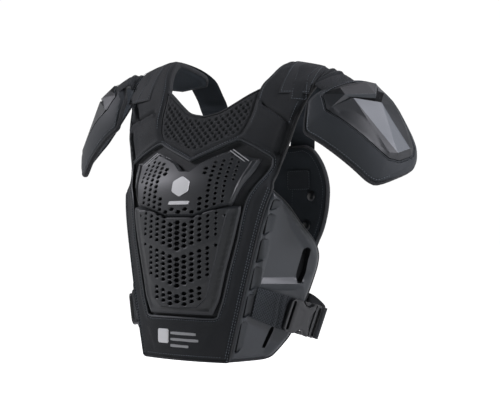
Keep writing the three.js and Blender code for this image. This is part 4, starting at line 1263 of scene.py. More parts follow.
@dataclass
class Wing:
    """Moulded side wing with recessed panels and a rounded rim.

    Attributes:
        side: The wearer's side.
        width: Its greatest width.
        thick: Thickness of the foam.
        rim_drop: How far the foam sinks at its edge.
        bar_depth: Depth of the small panels beside the seam.
        slot_depth: Depth of the slots.
    """

    side: Side
    width: float = 123.0
    thick: float = 12.0
    rim_drop: float = 4.2
    bar_depth: float = 5.6
    slot_depth: float = 9.4

    def __post_init__(self) -> None:
        """Lay out its outline and panels."""
        seam = [(0.6, v) for v in np.linspace(270, 35, 9)]
        self.outline = np.concatenate([self.edge((0.6, 20), (1.5, 284), (0.6, 283)), wing_line(self.side, seam)])
        corners = [
            # Along the seam, then the crest of the rim
            (0.6, 20, -0.4), (0.6, 284, -0.4), (4, 262, 0), (4, 34, 0),
            (70, 30, 1.0), (82, 42, 1.2), (95, 60, 1.2), (108, 116, 1.0), (114, 150, 1.4), (112, 172, 1.6),
            (100, 188, 1.6), (62, 225, 1.4), (27, 262, 0.6), (8, 280, 0.0),
            # The main panel and the rim beside its slot
            (29, 256, -2.4), (56, 217, -4.0), (91, 184, -4.6), (89, 150, -4.8), (85, 142, -4.8), (27, 143, -3.2),
            (29, 185, -2.6), (91, 170, -4.8), (90, 160, -4.8), (104, 178, 1.4), (104, 138, 1.2),
            # The step below it and the lower panel
            (24, 135, 1.8), (90, 133, 1.8), (103, 128, 1.4), (24, 125, -1.6), (88, 122, -2.0), (100, 112, -1.2),
            (19, 112, -2.2), (19, 34, -2.4), (58, 34, -3.2), (66, 44, -3.4), (70, 66, -3.0), (76, 88, -2.4),
            (60, 60, -3.4), (52, 40, -3.4),
            # Beyond the outline
            (60, 15, 0.4), (90, 28, 0.8), (106, 52, 0.8), (122, 116, 0.6), (127, 152, 1.0), (125, 182, 1.2),
            (112, 204, 1.2), (74, 238, 1.0), (36, 272, 0.4), (8, 292, 0.0),
        ]
        places = wing_line(self.side, [(w, v) for w, v, _ in corners])
        self.facets = Facets(
            [(s, v, height) for (s, v), (_, _, height) in zip(places, corners)],
            chain(4, 5, 6, 7, 8, 9, 10, 11, 12, 13) + chain(14, 15, 16, 17, 18, 19, 20, 14) + chain(25, 26, 27)
            + chain(28, 29, 30) + chain(31, 32, 33, 34, 35, 36),
        )
        breaks = (270, 243, 204, 163, 122, 82, 30)
        self.bars, self.painted_shade_strips = [], []
        for high, low in zip(breaks, breaks[1:]):
            near, far = 6.5 + 0.01 * (high - 60), 19 + 0.03 * (high - 60)
            self.bars.append((self.loop([(near, high - 7), (near + 4, high - 2), (far, high - 5), (far, low + 9),
                                         (near + 5, low + 2), (near, low + 2)]), near, far))
            # Strip at the deep end of each bar pocket, painted dark as painted shade.
            self.painted_shade_strips.append(self.loop([(near, high - 7), (near + 4, high - 4), (near + 5.5, low + 3),
                                           (near, low + 3)]))
        self.slots = [self.loop([(89, 183), (94, 188), (100, 185), (102, 150), (97, 134), (89, 134), (87, 150)]),
                      self.loop([(54, 37), (60, 36), (68, 62), (67, 70), (61, 66)])]

    def edge(self, first: tuple[float, float], *last: tuple[float, float]) -> np.ndarray:
        """Line from the hem round the rear to the top, between the given ends."""
        rear = [(self.width * share, along(v)) for v, share in WING_EDGE]
        line = wing_line(self.side, [first, (60, 20), (75, 23), (85, 33), *rear, *last])
        return rounded(line, 2, closed=False, cut=0.2)

    def loop(self, places: Line) -> np.ndarray:
        """Rounded closed loop on the wing."""
        return rounded(wing_line(self.side, places), 2, cut=0.08)

    def top(self, p: np.ndarray) -> np.ndarray:
        """Outer face."""
        w = np.abs(p[:, 0]) - BODY.seam(p[:, 1])
        h = self.facets(p) - self.rim_drop * near_edge(p, self.outline, 7) + ripple(p, 0.12)
        h = np.where(w < 8, np.minimum(h, -2.4 * (1 - ease(w, 0, 2.5))), h)
        for bar, near, far in self.bars:
            h -= self.bar_depth * np.clip((far - w) / (far - near), 0, 1) * ease(depth_in(p, bar), -0.2, 1.4)
        for slot in self.slots:
            deep = depth_in(p, slot)
            h = np.where(deep > 0, np.minimum(h, -self.slot_depth * ease(deep, -0.4, 1.6)), h)
        return np.maximum(h, -self.slot_depth)

    def under(self, p: np.ndarray) -> np.ndarray:
        """Inner face."""
        return -self.thick + 2.4 * near_edge(p, self.outline, 8) + ripple(p + 70, 0.2)

    def build(self, stitcher: Stitcher) -> None:
        """Make and dress its pieces."""
        word = self.side.word
        pockets = [bar for bar, _, _ in self.bars] + self.slots
        loops = [*pockets, *(offset_line(loop, 1.4) for loop in pockets), *self.painted_shade_strips]
        lines = self.facets.folds + [(loop, True) for loop in loops]
        pad = Panel(f"wing_foam_{word}", BODY, self.outline, self.top, self.under, 2.7, lines=lines).build()
        dress(pad, MOULDED, f"side_wing_{word}", fill=0.9)
        # The slots and the bar strips are painted near-black as painted shade in the recesses.
        for loop in self.slots + self.painted_shade_strips:
            paint(pad, PAINTED_SHADE, loop)
        trim(f"wing_binding_{word}", BODY, self.edge((0.4, 20), (2, 283)), -6.8, WING_BINDING, False)
        k = self.side.value
        ridge = np.array([(k * (float(BODY.seam(v)) + 0.2), v) for v in np.linspace(21, 282, 40)])
        trim(f"seam_piping_{word}", BODY, ridge, -2.2, ellipse(1.6, 1.6, 8), False)
        stitcher.sew(f"wing_stitches_{word}", [(BODY, ridge - np.array([k * 3.2, 0]), -0.3, False)])


# Back panel

@dataclass
class BackPanel:
    """The padded back with its bound edge, hook tape and snaps.

    Attributes:
        thick: Thickness of the padding.
        roll: Width over which the padding thins to its edge.
        edge_drop: How far the padding sinks at its edge.
        snap_radius: Radius of a snap.
        snap_rise: Height of a snap.
    """

    thick: float = 12.0
    roll: float = 9.0
    edge_drop: float = 3.4
    snap_radius: float = 8.4
    snap_rise: float = 3.5

    def __post_init__(self) -> None:
        """Lay out its outline and seams."""
        side = smooth_line(BACK_EDGE)
        self.outline = whole(np.concatenate([[(0, side[0][1])], side, [(0, side[-1][1])]]), open_middle=True)
        self.spine = whole([(s, along(v)) for v, s in SPINE])

    def top(self, p: np.ndarray) -> np.ndarray:
        """Outer face with a raised spine panel."""
        h = 2.0 * ease(depth_in(p, self.spine), -1.5, 4) - 1.8 * bump(distance(p, self.spine), 2.2)
        return h - self.edge_drop * near_edge(p, self.outline, self.roll) + ripple(p, 0.3)

    def under(self, p: np.ndarray) -> np.ndarray:
        """Inner face."""
        return -self.thick + self.edge_drop * near_edge(p, self.outline, self.roll) + ripple(p + 20, 0.3)

    def snap(self, s: float, v: float) -> tuple[np.ndarray, list[list[int]]]:
        """Turned snap cap on the inner face, as points and faces."""
        base = -self.thick - 0.4
        centre = BODY.place([(s, v)], base)[0]
        up = centre - BODY.place([(s, v)], base + 1)[0]
        one = unit(np.cross(up, [0, 0, 1.0]))
        circle = ellipse(1.0, 1.0, SNAP_SIDES) @ np.array([one, np.cross(up, one)])
        rings = [centre + circle * r * self.snap_radius + up * z * self.snap_rise for r, z in SNAP_PROFILE]
        verts = np.concatenate([[centre], *rings, [centre + up * self.snap_rise]])
        turn = [(k, (k + 1) % SNAP_SIDES) for k in range(SNAP_SIDES)]
        last = len(verts) - 1 - SNAP_SIDES
        faces = [[0, 1 + b, 1 + a] for a, b in turn]
        for low in range(1, last, SNAP_SIDES):
            high = low + SNAP_SIDES
            faces += [[low + a, low + b, high + b, high + a] for a, b in turn]
        return verts, faces + [[last + a, last + b, len(verts) - 1] for a, b in turn]

    def build(self, stitcher: Stitcher) -> None:
        """Make and dress its pieces."""
        inner = offset_line(self.outline, self.roll)
        pad = Panel("back_padding", BODY, self.outline, self.top, self.under, 4.5,
                    lines=[(inner, True), (self.spine, True)]).build()
        dress(pad, CLOTH, "back_pad", fill=0.8)
        paint(pad, LINING, inner=True)
        trim("back_binding", BODY, self.outline, -self.thick / 2, WIDE_BINDING)
        (left, low), (right, high) = ((across(s), along(v)) for s, v in TAPE)
        tape = rounded([(left, low), (right, low), (right, high), (left, high)], 2, cut=0.08)
        patch = Panel("hook_tape_patch", BODY, tape, flat(-self.thick - 0.2), flat(-self.thick - 1.7), 5.0).build()
        dress(patch, HOOKS, "hook_patch")
        for word, s, v in SNAPS:
            dress(mesh_object(f"snap_cap_{word}", *self.snap(across(s), along(v))), STUD, f"snap_{word}")
        h = -self.thick + 0.2
        runs = [(BODY, offset_line(self.outline, 6.5), h, True), (BODY, offset_line(tape, 1.6), h - 1.8, True)]
        for side in Side:
            k = side.value
            runs.append((BODY, np.array([(k * 62, low - 4), (k * 60, along(1.75)), (k * 52, along(1.92))]), h, False))
        runs.append((BODY, offset_line(self.spine, -3.0), 0.2, True))
        stitcher.sew("back_stitches", runs)


# Straps

def grid_normals(grid: np.ndarray) -> np.ndarray:
    """Direction off a sheet at each of its points."""
    normal = np.cross(np.gradient(grid, axis=1), np.gradient(grid, axis=0))
    return normal / np.maximum(np.linalg.norm(normal, axis=2, keepdims=True), 1e-9)


def ribbon(name: str, grid: np.ndarray, thick: float) -> bpy.types.Object:
    """Band of cloth with rounded long edges.

    Args:
        name: Name of the piece.
        grid: Points of its middle layer, rows along it and columns across it.
        thick: Its thickness.

    Returns:
        The band as a closed mesh.
    """
    rows, columns = grid.shape[:2]
    taper = np.ones(columns)
    taper[[0, -1]] = 0.45
    lift = grid_normals(grid) * (thick / 2 * taper)[None, :, None]
    verts = np.concatenate([(grid + lift).reshape(-1, 3), (grid - lift).reshape(-1, 3)])
    count = rows * columns
    faces = []
    for i in range(rows - 1):
        for j in range(columns - 1):
            a = i * columns + j
            quad = [a, a + 1, a + columns + 1, a + columns]
            faces += [quad, [q + count for q in quad[::-1]]]
    rim = list(range(columns)) + [i * columns + columns - 1 for i in range(1, rows)]
    rim += [(rows - 1) * columns + j for j in range(columns - 2, -1, -1)]
    rim += [i * columns for i in range(rows - 2, 0, -1)]
    faces += [[b, a, a + count, b + count] for a, b in zip(rim, rim[1:] + rim[:1])]
    uv = grid_uv(run_lengths(grid[:, columns // 2]), run_lengths(grid[rows // 2]))
    return mesh_object(name, verts, faces, np.concatenate([uv, uv]))


def bridge(a: np.ndarray, leave: np.ndarray, b: np.ndarray, arrive: np.ndarray, steps: int,
           fullness: float = 1.0) -> np.ndarray:
    """Curve that leaves a in one direction and reaches b in another."""
    t = np.linspace(0, 1, steps + 1)[:, None]
    pull = float(np.linalg.norm(b - a)) * fullness
    return (a * (2 * t**3 - 3 * t * t + 1) + leave * pull * (t**3 - 2 * t * t + t)
            + b * (3 * t * t - 2 * t**3) + arrive * pull * (t**3 - t * t))


def unit(v: np.ndarray) -> np.ndarray:
    """The direction of a vector."""
    return v / np.linalg.norm(v)


@dataclass
class ShoulderStrap:
    """Band from the front flap over the yoke to the back panel.

    Attributes:
        side: The wearer's side.
        width: Its width.
        thick: Its thickness.
        back: Distance of its middle from the back's middle line.
        lean: How much further out it lies in front.
        way: Share of the lean at places along the body, given as shares too.
    """

    side: Side
    width: float = 50.0
    thick: float = 2.4
    back: float = 76.0
    lean: float = 70.0
    way: tuple[tuple[float, float], ...] = (
        (0.84, 1.0), (0.92, 1.0), (1.0, 1.0), (1.08, 0.74), (1.167, 0.44), (1.23, 0.27), (1.3, 0.1), (1.37, 0.0),
        (1.43, -0.05),
    )

    def centre(self, v: np.ndarray) -> np.ndarray:
        """Middle of the band."""
        return self.back + self.lean * np.interp(v, [along(a) for a, _ in self.way], [b for _, b in self.way])

    def seat(self, v: float) -> float:
        """Height of its underside."""
        flat_from, flat_to = along(1.38) - 10, along(1.167)
        sunk = 2.2 * (1 - ease(v, along(0.96), along(1.1)))
        return 0.7 + 4.0 * np.clip((flat_from - v) / (flat_from - flat_to), 0, 1) - sunk

    def build(self, stitcher: Stitcher) -> None:
        """Make and dress the band."""
        k, word = self.side.value, self.side.word
        v = np.linspace(along(self.way[0][0]), along(self.way[-1][0]), 90)
        steps = np.linspace(-0.5, 0.5, 13)
        rows = []
        for at, mid in zip(v, self.centre(v)):
            p = np.stack([k * (mid + steps * self.width), np.full(len(steps), at)], axis=1)
            wave = 3.0 * bump(at - along(1.27), 40.0) * np.sin(at * 0.21 + steps * 1.2) * np.cos(steps * 2.2)
            rows.append(BODY.place(p, self.seat(at) + self.thick / 2 + wave))
        band = ribbon(f"shoulder_band_{word}", np.array(rows), self.thick)
        dress(band, STRAP, f"shoulder_strap_{word}")
        band.data.materials.append(LINING.material())
        faces = 2 * (len(rows) - 1) * (len(steps) - 1)
        for face in list(band.data.polygons)[int(self.side is Side.LEFT):faces:2]:
            face.material_index = 1
        start, front, half = v[0] + 3, self.back + self.lean, self.width / 2 - 3.5
        edge = [(front - half, along(1.0)), (front - half, start), (front + half, start), (front + half, along(1.0))]
        box = [(self.back - 19, along(1.4)), (self.back + 17, along(1.4)), (self.back + 14, along(1.427)),
               (self.back - 22, along(1.427))]
        turn = np.array([k, 1])
        h = self.seat(start) + self.thick + 0.1
        runs = [(BODY, np.array(edge) * turn, h, False), (BODY, np.array(box) * turn, 0.8 + self.thick, True)]
        stitcher.sew(f"shoulder_stitches_{word}", runs)


# Caps

CAP_PAD_EDGE = (
    (-0.46, -0.48, 0.8), (-0.4, -0.6, 0.92), (-0.306, -0.76, 1.04), (-0.211, -0.885, 1.09), (-0.111, -0.83, 1.1),
    (0.0, -0.75, 1.08), (0.167, -0.62, 1.0), (0.322, -0.5, 0.87), (0.444, -0.41, 0.62), (0.511, -0.3, 0.38),
)
PLATE_TOP = (-0.389, -0.3, 0.72)


PLATE_GAP = (1.6, 4.6)


@dataclass
class Cap:
    """Shoulder cap: padded base, faceted plate with a vent, and the strap that holds it.

    Attributes:
        side: The wearer's side.
        length: Length of the cap down the arm.
        half: Half of its width.
        thick: Thickness of the padding.
        fall: How far the padding's facets fall away from the plate.
        run: Width over which they fall.
        band: Thickness of the band that holds the cap.
        gather: Height of the band's folds.
    """

    side: Side
    length: float = 180.0
    half: float = 100.0
    thick: float = 11.0
    fall: float = 6.2
    run: float = 36.0
    band: float = 2.4
    gather: float = 1.3

    def __post_init__(self) -> None:
        """Lay out its outlines."""
        self.surface = CapSurface(self.side)
        self.pad_edge = rounded(self.loop(CAP_PAD_EDGE), 2, cut=0.2)
        self.plate_edge = rounded([(-30, -70), (-43, -41), (0, 62), (16, 71.5), (44, 72), (60, 60), (72, 30), (81, -10),
                                   (83, -42), (76, -70)], 1, cut=0.1)
        # Plate edge, border, hood, vent floor and the top of the face
        self.facets = Facets(
            [(-31, -71, 2.4), (-44, -41, 2.4), (-1, 63, 2.4), (16, 72.5, 2.4), (44, 73, 2.4), (61, 61, 2.4),
             (73, 30, 2.4), (82, -10, 2.4), (84, -42, 2.4), (77, -71, 2.4),
             (-22, -61, 5.4), (-36, -41, 5.2), (5, 56, 4.8), (17, 61, 6.2), (45, 61, 6.2), (64, 28, 4.6),
             (73, -12, 4.8),
             (-9, -47, 9.4), (34, -32, 11.6), (57, -57, 10.6), (-6, -63, 8.0), (40, -63, 9.8), (70, -62, 6.0),
             (-5, -42, 5.4), (34, -25, 2.6), (61, -49, 3.4), (-2, -37, 8.6), (37, -18, 8.2), (66, -40, 5.6)],
            chain(0, 1, 2, 3, 4, 5, 6, 7, 8, 9, closed=True) + chain(0, 10, 11, 12, 13, 14, 15, 16)
            + chain(17, 18, 19) + chain(23, 24, 25) + chain(26, 27, 28) + chain(26, 13) + chain(27, 14)
            + chain(20, 17) + chain(21, 18) + chain(22, 19) + chain(28, 16),
        )
        # Loops painted on the plate: the face and the lip lighter as painted light, the hood and the vent darker as
        # painted shade.
        self.face = np.array([(-2, -37), (37, -18), (45, 61), (17, 61)], float)
        self.hood = np.array([(-31, -72), (-22, -60), (-9.5, -48), (34, -33.5), (57, -58), (78, -72)], float)
        self.vent = np.array([(-6.5, -43.5), (34, -28), (59, -53), (66, -40), (37, -18.5), (-2, -37.5)], float)
        self.lip = np.array([(-9.5, -47.5), (34, -32.5), (57, -57.5), (59, -53), (34, -28), (-6.5, -43.5)], float)
        corners = [(-31, -71), (-43, -41), (0, 62), (16, 72), (44, 72), (60, 60), (82, -30), (77, -71)]
        self.pad_planes = []
        for a, b in zip(corners, corners[1:] + corners[:1]):
            ahead = np.array([b[0] - a[0], b[1] - a[1]], float)
            self.pad_planes.append((np.array(a, float), np.array([-ahead[1], ahead[0]]) / float(np.hypot(*ahead))))
        self.folds = [np.array(line, float) for line in (
            [(-43, -41), (-86, -40)], [(0, 62), (-42, 92)], [(44, 72), (60, 93)], [(82, -30), (107, -28)])]

    def loop(self, table: Sequence[tuple[float, float, float]]) -> np.ndarray:
        """Closed outline from rows of place, front and rear shares."""
        front = [(self.half * f, self.length * t) for t, f, _ in table]
        rear = [(self.half * r, self.length * t) for t, _, r in table]
        return np.array(front + rear[::-1])

    def pad_top(self, p: np.ndarray) -> np.ndarray:
        """Outer face of the padding, falling away from the plate in flat facets."""
        away = np.max([(p - a) @ out for a, out in self.pad_planes], axis=0)
        shoulder = ease(-depth_in(p, self.plate_edge), *PLATE_GAP)
        h = 3.4 - self.fall * np.clip((away - 4) / self.run, 0, 1)
        h = h - 2.6 * near_edge(p, self.pad_edge, 7) + ripple(p, 0.12)
        return h * shoulder + np.minimum(h, 0.1) * (1 - shoulder)

    def pad_under(self, p: np.ndarray) -> np.ndarray:
        """Inner face of the padding."""
        return -self.thick + 3.0 * near_edge(p, self.pad_edge, 9) + ripple(p + 30, 0.25)

    def plate_top(self, p: np.ndarray) -> np.ndarray:
        """Outer face of the plate, its facets flat in space away from its edge."""
        h = self.facets(p)
        corners = self.surface.place(self.facets.places, self.facets.heights)
        sag = np.sum((self.facets.blend(p, corners) - self.surface.place(p, h)) * self.surface.normals(p), axis=1)
        return np.maximum(h + sag * ease(distance(p, self.plate_edge), 0, 9), 2.2)

    def plate_under(self, p: np.ndarray) -> np.ndarray:
        """Inner face of the plate."""
        return PLATE_SEAT + np.clip(distance(p, self.plate_edge) / 14.0, 0, 1)

    def build(self, stitcher: Stitcher) -> None:
        """Make and dress its pieces."""
        word = self.side.word
        lines = [(self.plate_edge, True), *((fold, False) for fold in self.folds)]
        lines += [(offset_line(self.plate_edge, -by), True) for by in PLATE_GAP]
        pad = Panel(f"cap_padding_{word}", self.surface, self.pad_edge, self.pad_top, self.pad_under, 3.4,
                    lines=lines, crease=14.0).build()
        dress(pad, CAP_FOAM, f"cap_pad_{word}", fill=0.8)
        paint(pad, LINING, inner=True)
        trim(f"cap_binding_{word}", self.surface, self.pad_edge, -self.thick / 2 - 0.3, NARROW_BINDING)
        plate = Panel(f"cap_shell_{word}", self.surface, self.plate_edge, self.plate_top, self.plate_under, 2.6,
                      lines=[*self.facets.folds, (self.lip, True)], crease=12.0).build()
        dress(plate, SHELL, f"cap_plate_{word}")
        # Painted light and shade on the plate: lighter face and lip, darker vent and hood.
        for finish, loop in ((FACE_PAINTED_LIGHT, self.face), (PAINTED_SHADE, self.vent), (HOOD_PAINTED_SHADE, self.hood), (LIP_PAINTED_HIGHLIGHT, self.lip)):
            paint(plate, finish, loop)
        stitcher.sew(f"cap_stitches_{word}", [(self.surface, offset_line(self.pad_edge, 5.5), -0.9, True)])
        trim(f"cap_piping_{word}", self.surface, offset_line(self.plate_edge, -1.8), 0.8, ellipse(1.5, 1.5, 8),
             finish=CAP_FOAM)
        self.build_strap(stitcher)

    def build_strap(self, stitcher: Stitcher) -> None:
        """Make the textured strap from the yoke's edge to the plate's top."""
        k = self.side.value
        top, front, rear = PLATE_TOP
        first, spread = 0.05, 0.57
        armhole = smooth_line(ARMHOLE)
        rows = []
        for share in np.linspace(0, 1, 15):
            run = along(0.9 + 0.1 * share)
            q = self.half * (front + (rear - front) * (first + spread * share))
            edge = k * (float(np.interp(run, armhole[:, 1], armhole[:, 0])) + 2.0)
            start = BODY.place([(edge, run)], 2.6)[0]
            away = unit(start - BODY.place([(edge - k * 5, run)], 0.6)[0])
            lie = [self.surface.place([(q, self.length * top - PLATE_SEAT - drop)], 2.2)[0] for drop in (24, 16, 8, 0)]
            line = bridge(start, away, lie[0], unit(lie[1] - lie[0]), 14)
            rows.append(np.concatenate([line, lie[1:]]))
        grid = np.array(rows).transpose(1, 0, 2)
        normal = grid_normals(grid)
        upward = 1 if normal[8, 7, 2] >= 0 else -1
        t = np.linspace(0, 1, len(grid))
        fold = self.gather * np.sin(t * 15) * ease(t, 0.05, 0.2) * (1 - ease(t, 0.6, 0.8))
        grid = grid + normal * upward * fold[:, None, None]
        dress(ribbon(f"cap_band_{self.side.word}", grid, self.band), KNIT_BAND, f"cap_strap_{self.side.word}")
        seam = np.array([(-28, -69.5), (20, -71), (74, -69.5)], float)
        stitcher.sew(f"cap_top_stitches_{self.side.word}", [(self.surface, seam, 4.9, False)])


# Waist straps and buckles

class PlaneSurface(Surface):
    """A flat face with its own origin and axes."""

    def __init__(self, start: np.ndarray, run: np.ndarray, wide: np.ndarray, out: np.ndarray) -> None:
        """Keep the axes."""
        self.start, self.run, self.wide, self.out = start, run, wide, out

    def skin(self, s: np.ndarray, v: np.ndarray) -> np.ndarray:
        """Points of the plane."""
        return self.start + np.asarray(s)[:, None] * self.run + np.asarray(v)[:, None] * self.wide

    def normals(self, p: np.ndarray) -> np.ndarray:
        """The plane's own outward direction."""
        return np.repeat(self.out[None], len(p), axis=0)


@dataclass
class WaistStrap:
    """Elastic, side-release buckle and the webbing that goes on to the back panel.

    Attributes:
        side: The wearer's side.
        web: Width of the webbing.
        sewn: Width of the elastic where it is sewn to the wing.
        thick: Thickness of both.
        front: Distance of the elastic's front end behind the wing's seam.
        buckle: Distance of the buckle's front end behind it.
        front_height: Place of the front end along the body.
        buckle_height: Place of the buckle's front end along it.
        slope: Fall of the buckle for each step back.
        long: Length of the buckle.
        wide: Its width.
        deep: Its depth.
        arm: Width of a release arm.
        reach: Length of the arms that shows.
        base: Length of the prong's base.
        seat: Height of the buckle over the wing.
        play: Gap between the halves.
    """

    side: Side
    web: float = 50.0
    sewn: float = 44.0
    thick: float = 2.4
    front: float = 20.0
    buckle: float = 76.0
    front_height: float = 107.6
    buckle_height: float = 90.0
    slope: float = 0.262
    long: float = 63.0
    wide: float = 51.0
    deep: float = 11.0
    arm: float = 7.0
    reach: float = 19.0
    base: float = 15.0
    seat: float = 3.6
    play: float = 0.4

    def middle(self, w: float) -> float:
        """Centre of the strap along the wing."""
        if w >= self.buckle:
            return self.buckle_height - self.slope * (w - self.buckle)
        share = (w - self.front) / (self.buckle - self.front)
        return self.front_height + (self.buckle_height - self.front_height) * share

    @property
    def stand(self) -> float:
        """Height of the buckle's underside, more on the side where the strap is slack."""
        return self.seat + (12.0 if self.side is Side.RIGHT else 0.0)

    def on_wing(self, w: float, v: float, h: float) -> np.ndarray:
        """Point over the wing."""
        return BODY.place([(self.side.value * (float(BODY.seam(v)) + w), v)], h)[0]

    def axes(self) -> PlaneSurface:
        """Plane of the buckle's underside."""
        start = self.on_wing(self.buckle, self.middle(self.buckle), self.stand)
        end = self.buckle + self.long
        run = unit(self.on_wing(end, self.middle(end), self.stand) - start)
        at, v = self.buckle + self.long / 2, self.middle(self.buckle + 30)
        out = self.on_wing(at, v, self.stand) - self.on_wing(at, v, 0)
        out = unit(out - run * float(out @ run))
        return PlaneSurface(start, run, np.cross(out, run), out)

    def build(self) -> None:
        """Make and dress its pieces."""
        plane = self.axes()
        self.build_socket(plane)
        self.build_prong(plane)
        self.build_front()
        self.build_back(plane)

    def block(self, name: str, node: str, plane: PlaneSurface, outline: np.ndarray, slot: np.ndarray,
              relief: Height, lines: list[tuple[np.ndarray, bool]]) -> None:
        """Make a moulded block with softened edges.

        Args:
            name: Name of the piece.
            node: CAD node that it stands for.
            plane: Where it lies.
            outline: Its outline.
            slot: Slot cut through it.
            relief: Extra height of its face.
            lines: Feature lines of its face.
        """
        outline = rounded(outline, 2, cut=0.12)
        slot = rounded(slot, 2, cut=0.08)
        radius = 1.8

        def inset(p: np.ndarray) -> np.ndarray:
            """How far both faces round off."""
            gap = np.minimum(distance(p, outline), distance(p, slot) + 0.6)
            return 1.3 * (1 - np.sqrt(np.clip(1 - (1 - np.clip(gap / radius, 0, 1)) ** 2, 0, 1)))

        rims = [(offset_line(outline, by), True) for by in (0.5, radius)]
        piece = Panel(name, plane, outline, lambda p: self.deep - inset(p) + relief(p), inset, 2.0,
                      [resampled(slot, 2.0)], rims + lines).build()
        dress(piece, CLIP, node)

    def build_socket(self, plane: PlaneSurface) -> None:
        """Make the half that the prong goes into."""
        half = self.wide / 2
        end = self.long - self.base - self.play
        notch = end - self.reach - self.play
        inner = half - self.arm - self.play
        upper = [(0, half - 5), (5, half), (notch - 9, half), (notch - 4, half - 3.5), (notch + 1, inner),
                 (notch + 8, inner), (notch + 12, half - 4.5), (notch + 15, half), (end, half)]
        outline = np.array([(x, -y) for x, y in upper[::-1]] + upper)
        dip = np.array([(14, -15), (30, -11), (30, 11), (14, 15)], float)

        def relief(p: np.ndarray) -> np.ndarray:
            """Sunk front end, sunk wedge at the rear and a shallow dip between."""
            sunk = -1.4 * ease(12.5 - p[:, 0], 0, 3)
            vee = -1.6 * ease(p[:, 0] - (end - 9) - 0.5 * np.abs(p[:, 1]), 0, 1.6)
            return sunk + vee - 0.5 * ease(depth_in(p, dip), -0.5, 1.5)

        self.block(f"socket_shell_{self.side.word}", f"buckle_socket_{self.side.word}", plane, outline,
                   self.web_slot(4.0), relief, [(dip, True)])

    def web_slot(self, start: float) -> np.ndarray:
        """Slot that a strap goes through, from its front end."""
        half, end = 22.0, start + 5.0
        return np.array([(start, -half), (end, -half), (end, half), (start, half)])

    def build_prong(self, plane: PlaneSurface) -> None:
        """Make the half with the release arms."""
        half = self.wide / 2
        start = self.long - self.base - self.reach
        root = self.long - self.base
        upper = [(root, half - 1), (self.long - 5, half), (self.long, half - 5)]
        outline = np.array([(x, -y) for x, y in upper] + upper[::-1])

        def relief(p: np.ndarray) -> np.ndarray:
            """Face that steps down to the webbing."""
            return -1.2 * ease(p[:, 0], self.long - 13, self.long - 10)

        word = self.side.word
        self.block(f"prong_shell_{word}", f"buckle_prong_{word}", plane, outline, self.web_slot(54.0), relief, [])
        for k, name in ((1, "upper"), (-1, "lower")):
            button = [(start - 3, half - 0.6), (start - 1, half - 3.6), (start + 2.5, half - self.arm + 0.8),
                      (start + 6, half - self.arm + 0.8), (start + 9, half - 3.6), (start + 11, half - 0.6)]
            loop = rounded([(x, k * y) for x, y in button], 2, cut=0.15)

            def ribs(p: np.ndarray, loop: np.ndarray = loop) -> np.ndarray:
                """Button face with grip ribs."""
                return 7.6 - 0.5 * bump(np.mod(p[:, 0], 2.6) - 1.3, 0.6) - 0.6 * (distance(p, loop) < 0.5)

            dress(Panel(f"release_{name}_{word}", plane, loop, ribs, flat(2.4), 1.2).build(), CLIP)

    def build_front(self) -> None:
        """Make the gathered elastic between the wing and the buckle."""
        lean = (BODY.half_width - BODY.half_hem) / (BODY.wing_top - 10)
        square = self.slope / (1 - lean * self.slope) - lean
        steps = np.linspace(-0.5, 0.5, 15)
        rows = []
        for share in np.linspace(0, 1, 45):
            w = self.front + (self.buckle - 1.6 - self.front) * share
            width = self.sewn + (self.web - self.sewn) * share
            v = self.middle(w) + steps * width
            s = BODY.seam(v) + w + share * steps * width * square
            gather = 1.5 * np.sin(share * 30 + 1.2 * np.sin(steps * 4)) * ease(share, 0.5, 0.85) * (1 - share * 0.4)
            h = 1.2 + share**2 * self.stand + self.thick / 2 + gather
            rows.append(BODY.place(np.stack([self.side.value * s, v], axis=1), h))
        word = self.side.word
        dress(ribbon(f"waist_elastic_{word}", np.array(rows), self.thick), ELASTIC, f"waist_strap_front_{word}")

    def build_back(self, plane: PlaneSurface) -> None:
        """Make the webbing from the buckle to the back panel."""
        k, word = self.side.value, self.side.word
        back = smooth_line(BACK_EDGE)
        end = plane.start + plane.run * (self.long + 2.2) + plane.out * self.deep / 2
        h = 0.4 + self.thick / 2
        lines = []
        for share in np.linspace(0, 1, 11):
            v = along(WEBBING_ENDS[0] * (1 - share) + WEBBING_ENDS[1] * share)
            edge = float(np.interp(v, back[:, 1], back[:, 0]))
            leave = end - plane.wide * (share - 0.5) * k * self.web
            arrive = BODY.place([(k * edge, v)], h)[0]
            inward = BODY.place([(k * (edge - 20), v)], h)[0] - arrive
            lines.append(np.concatenate([bridge(leave, plane.run, arrive, unit(inward), 40, 0.3),
                                         [arrive + inward * 0.5, arrive + inward]]))
        grid = np.array(lines).transpose(1, 0, 2)
        dress(ribbon(f"waist_webbing_{word}", grid, self.thick), BAND, f"waist_strap_back_{word}")
        middle = plane.start + plane.run * (self.long + 1.5) + plane.out * (self.deep / 2 + 1.0)
        path = np.array([middle + plane.wide * y for y in np.linspace(-24.5, 24.5, 9)])
        outs, ups = (np.repeat(way[None], len(path), axis=0) for way in (plane.run, plane.out))
        dress(swept(f"webbing_roll_{word}", path, outs, ups, ellipse(5.6, 6.4, 18), False), BAND)


# Picture

SKY, FLOOR_DEPTH, LIGHT_COLOUR = 1.02, -0.75, (0.93, 0.92, 1.0)
LIGHTS = (
    ("key", (-2.1, -0.9, 1.3), (0, 0, -0.2), 0.5, 56),
    ("right_soft", (2.3, 0.25, 1.2), (0, 0, -0.2), 0.5, 80),
    ("top_rim", (0.2, 1.2, 1.7), (0, 0, -0.1), 0.8, 14),
)
CAMERA_PLACE, CAMERA_TURN = (0.8714, -1.3419, -0.243), 33.0
CAMERA_LENS, CAMERA_SHIFT = 72, (0.044, 0.06)


def light(name: str, place: tuple[float, float, float], aim: tuple[float, float, float], size: float,
          power: float) -> None:
    """Add a soft area light that faces a point."""
    data = bpy.data.lights.new(name, "AREA")
    data.size, data.energy, data.color = size, power, LIGHT_COLOUR
    obj = linked(name, data)
    obj.location = place
    obj.rotation_euler = (Vector(aim) - Vector(place)).to_track_quat("-Z", "Y").to_euler()


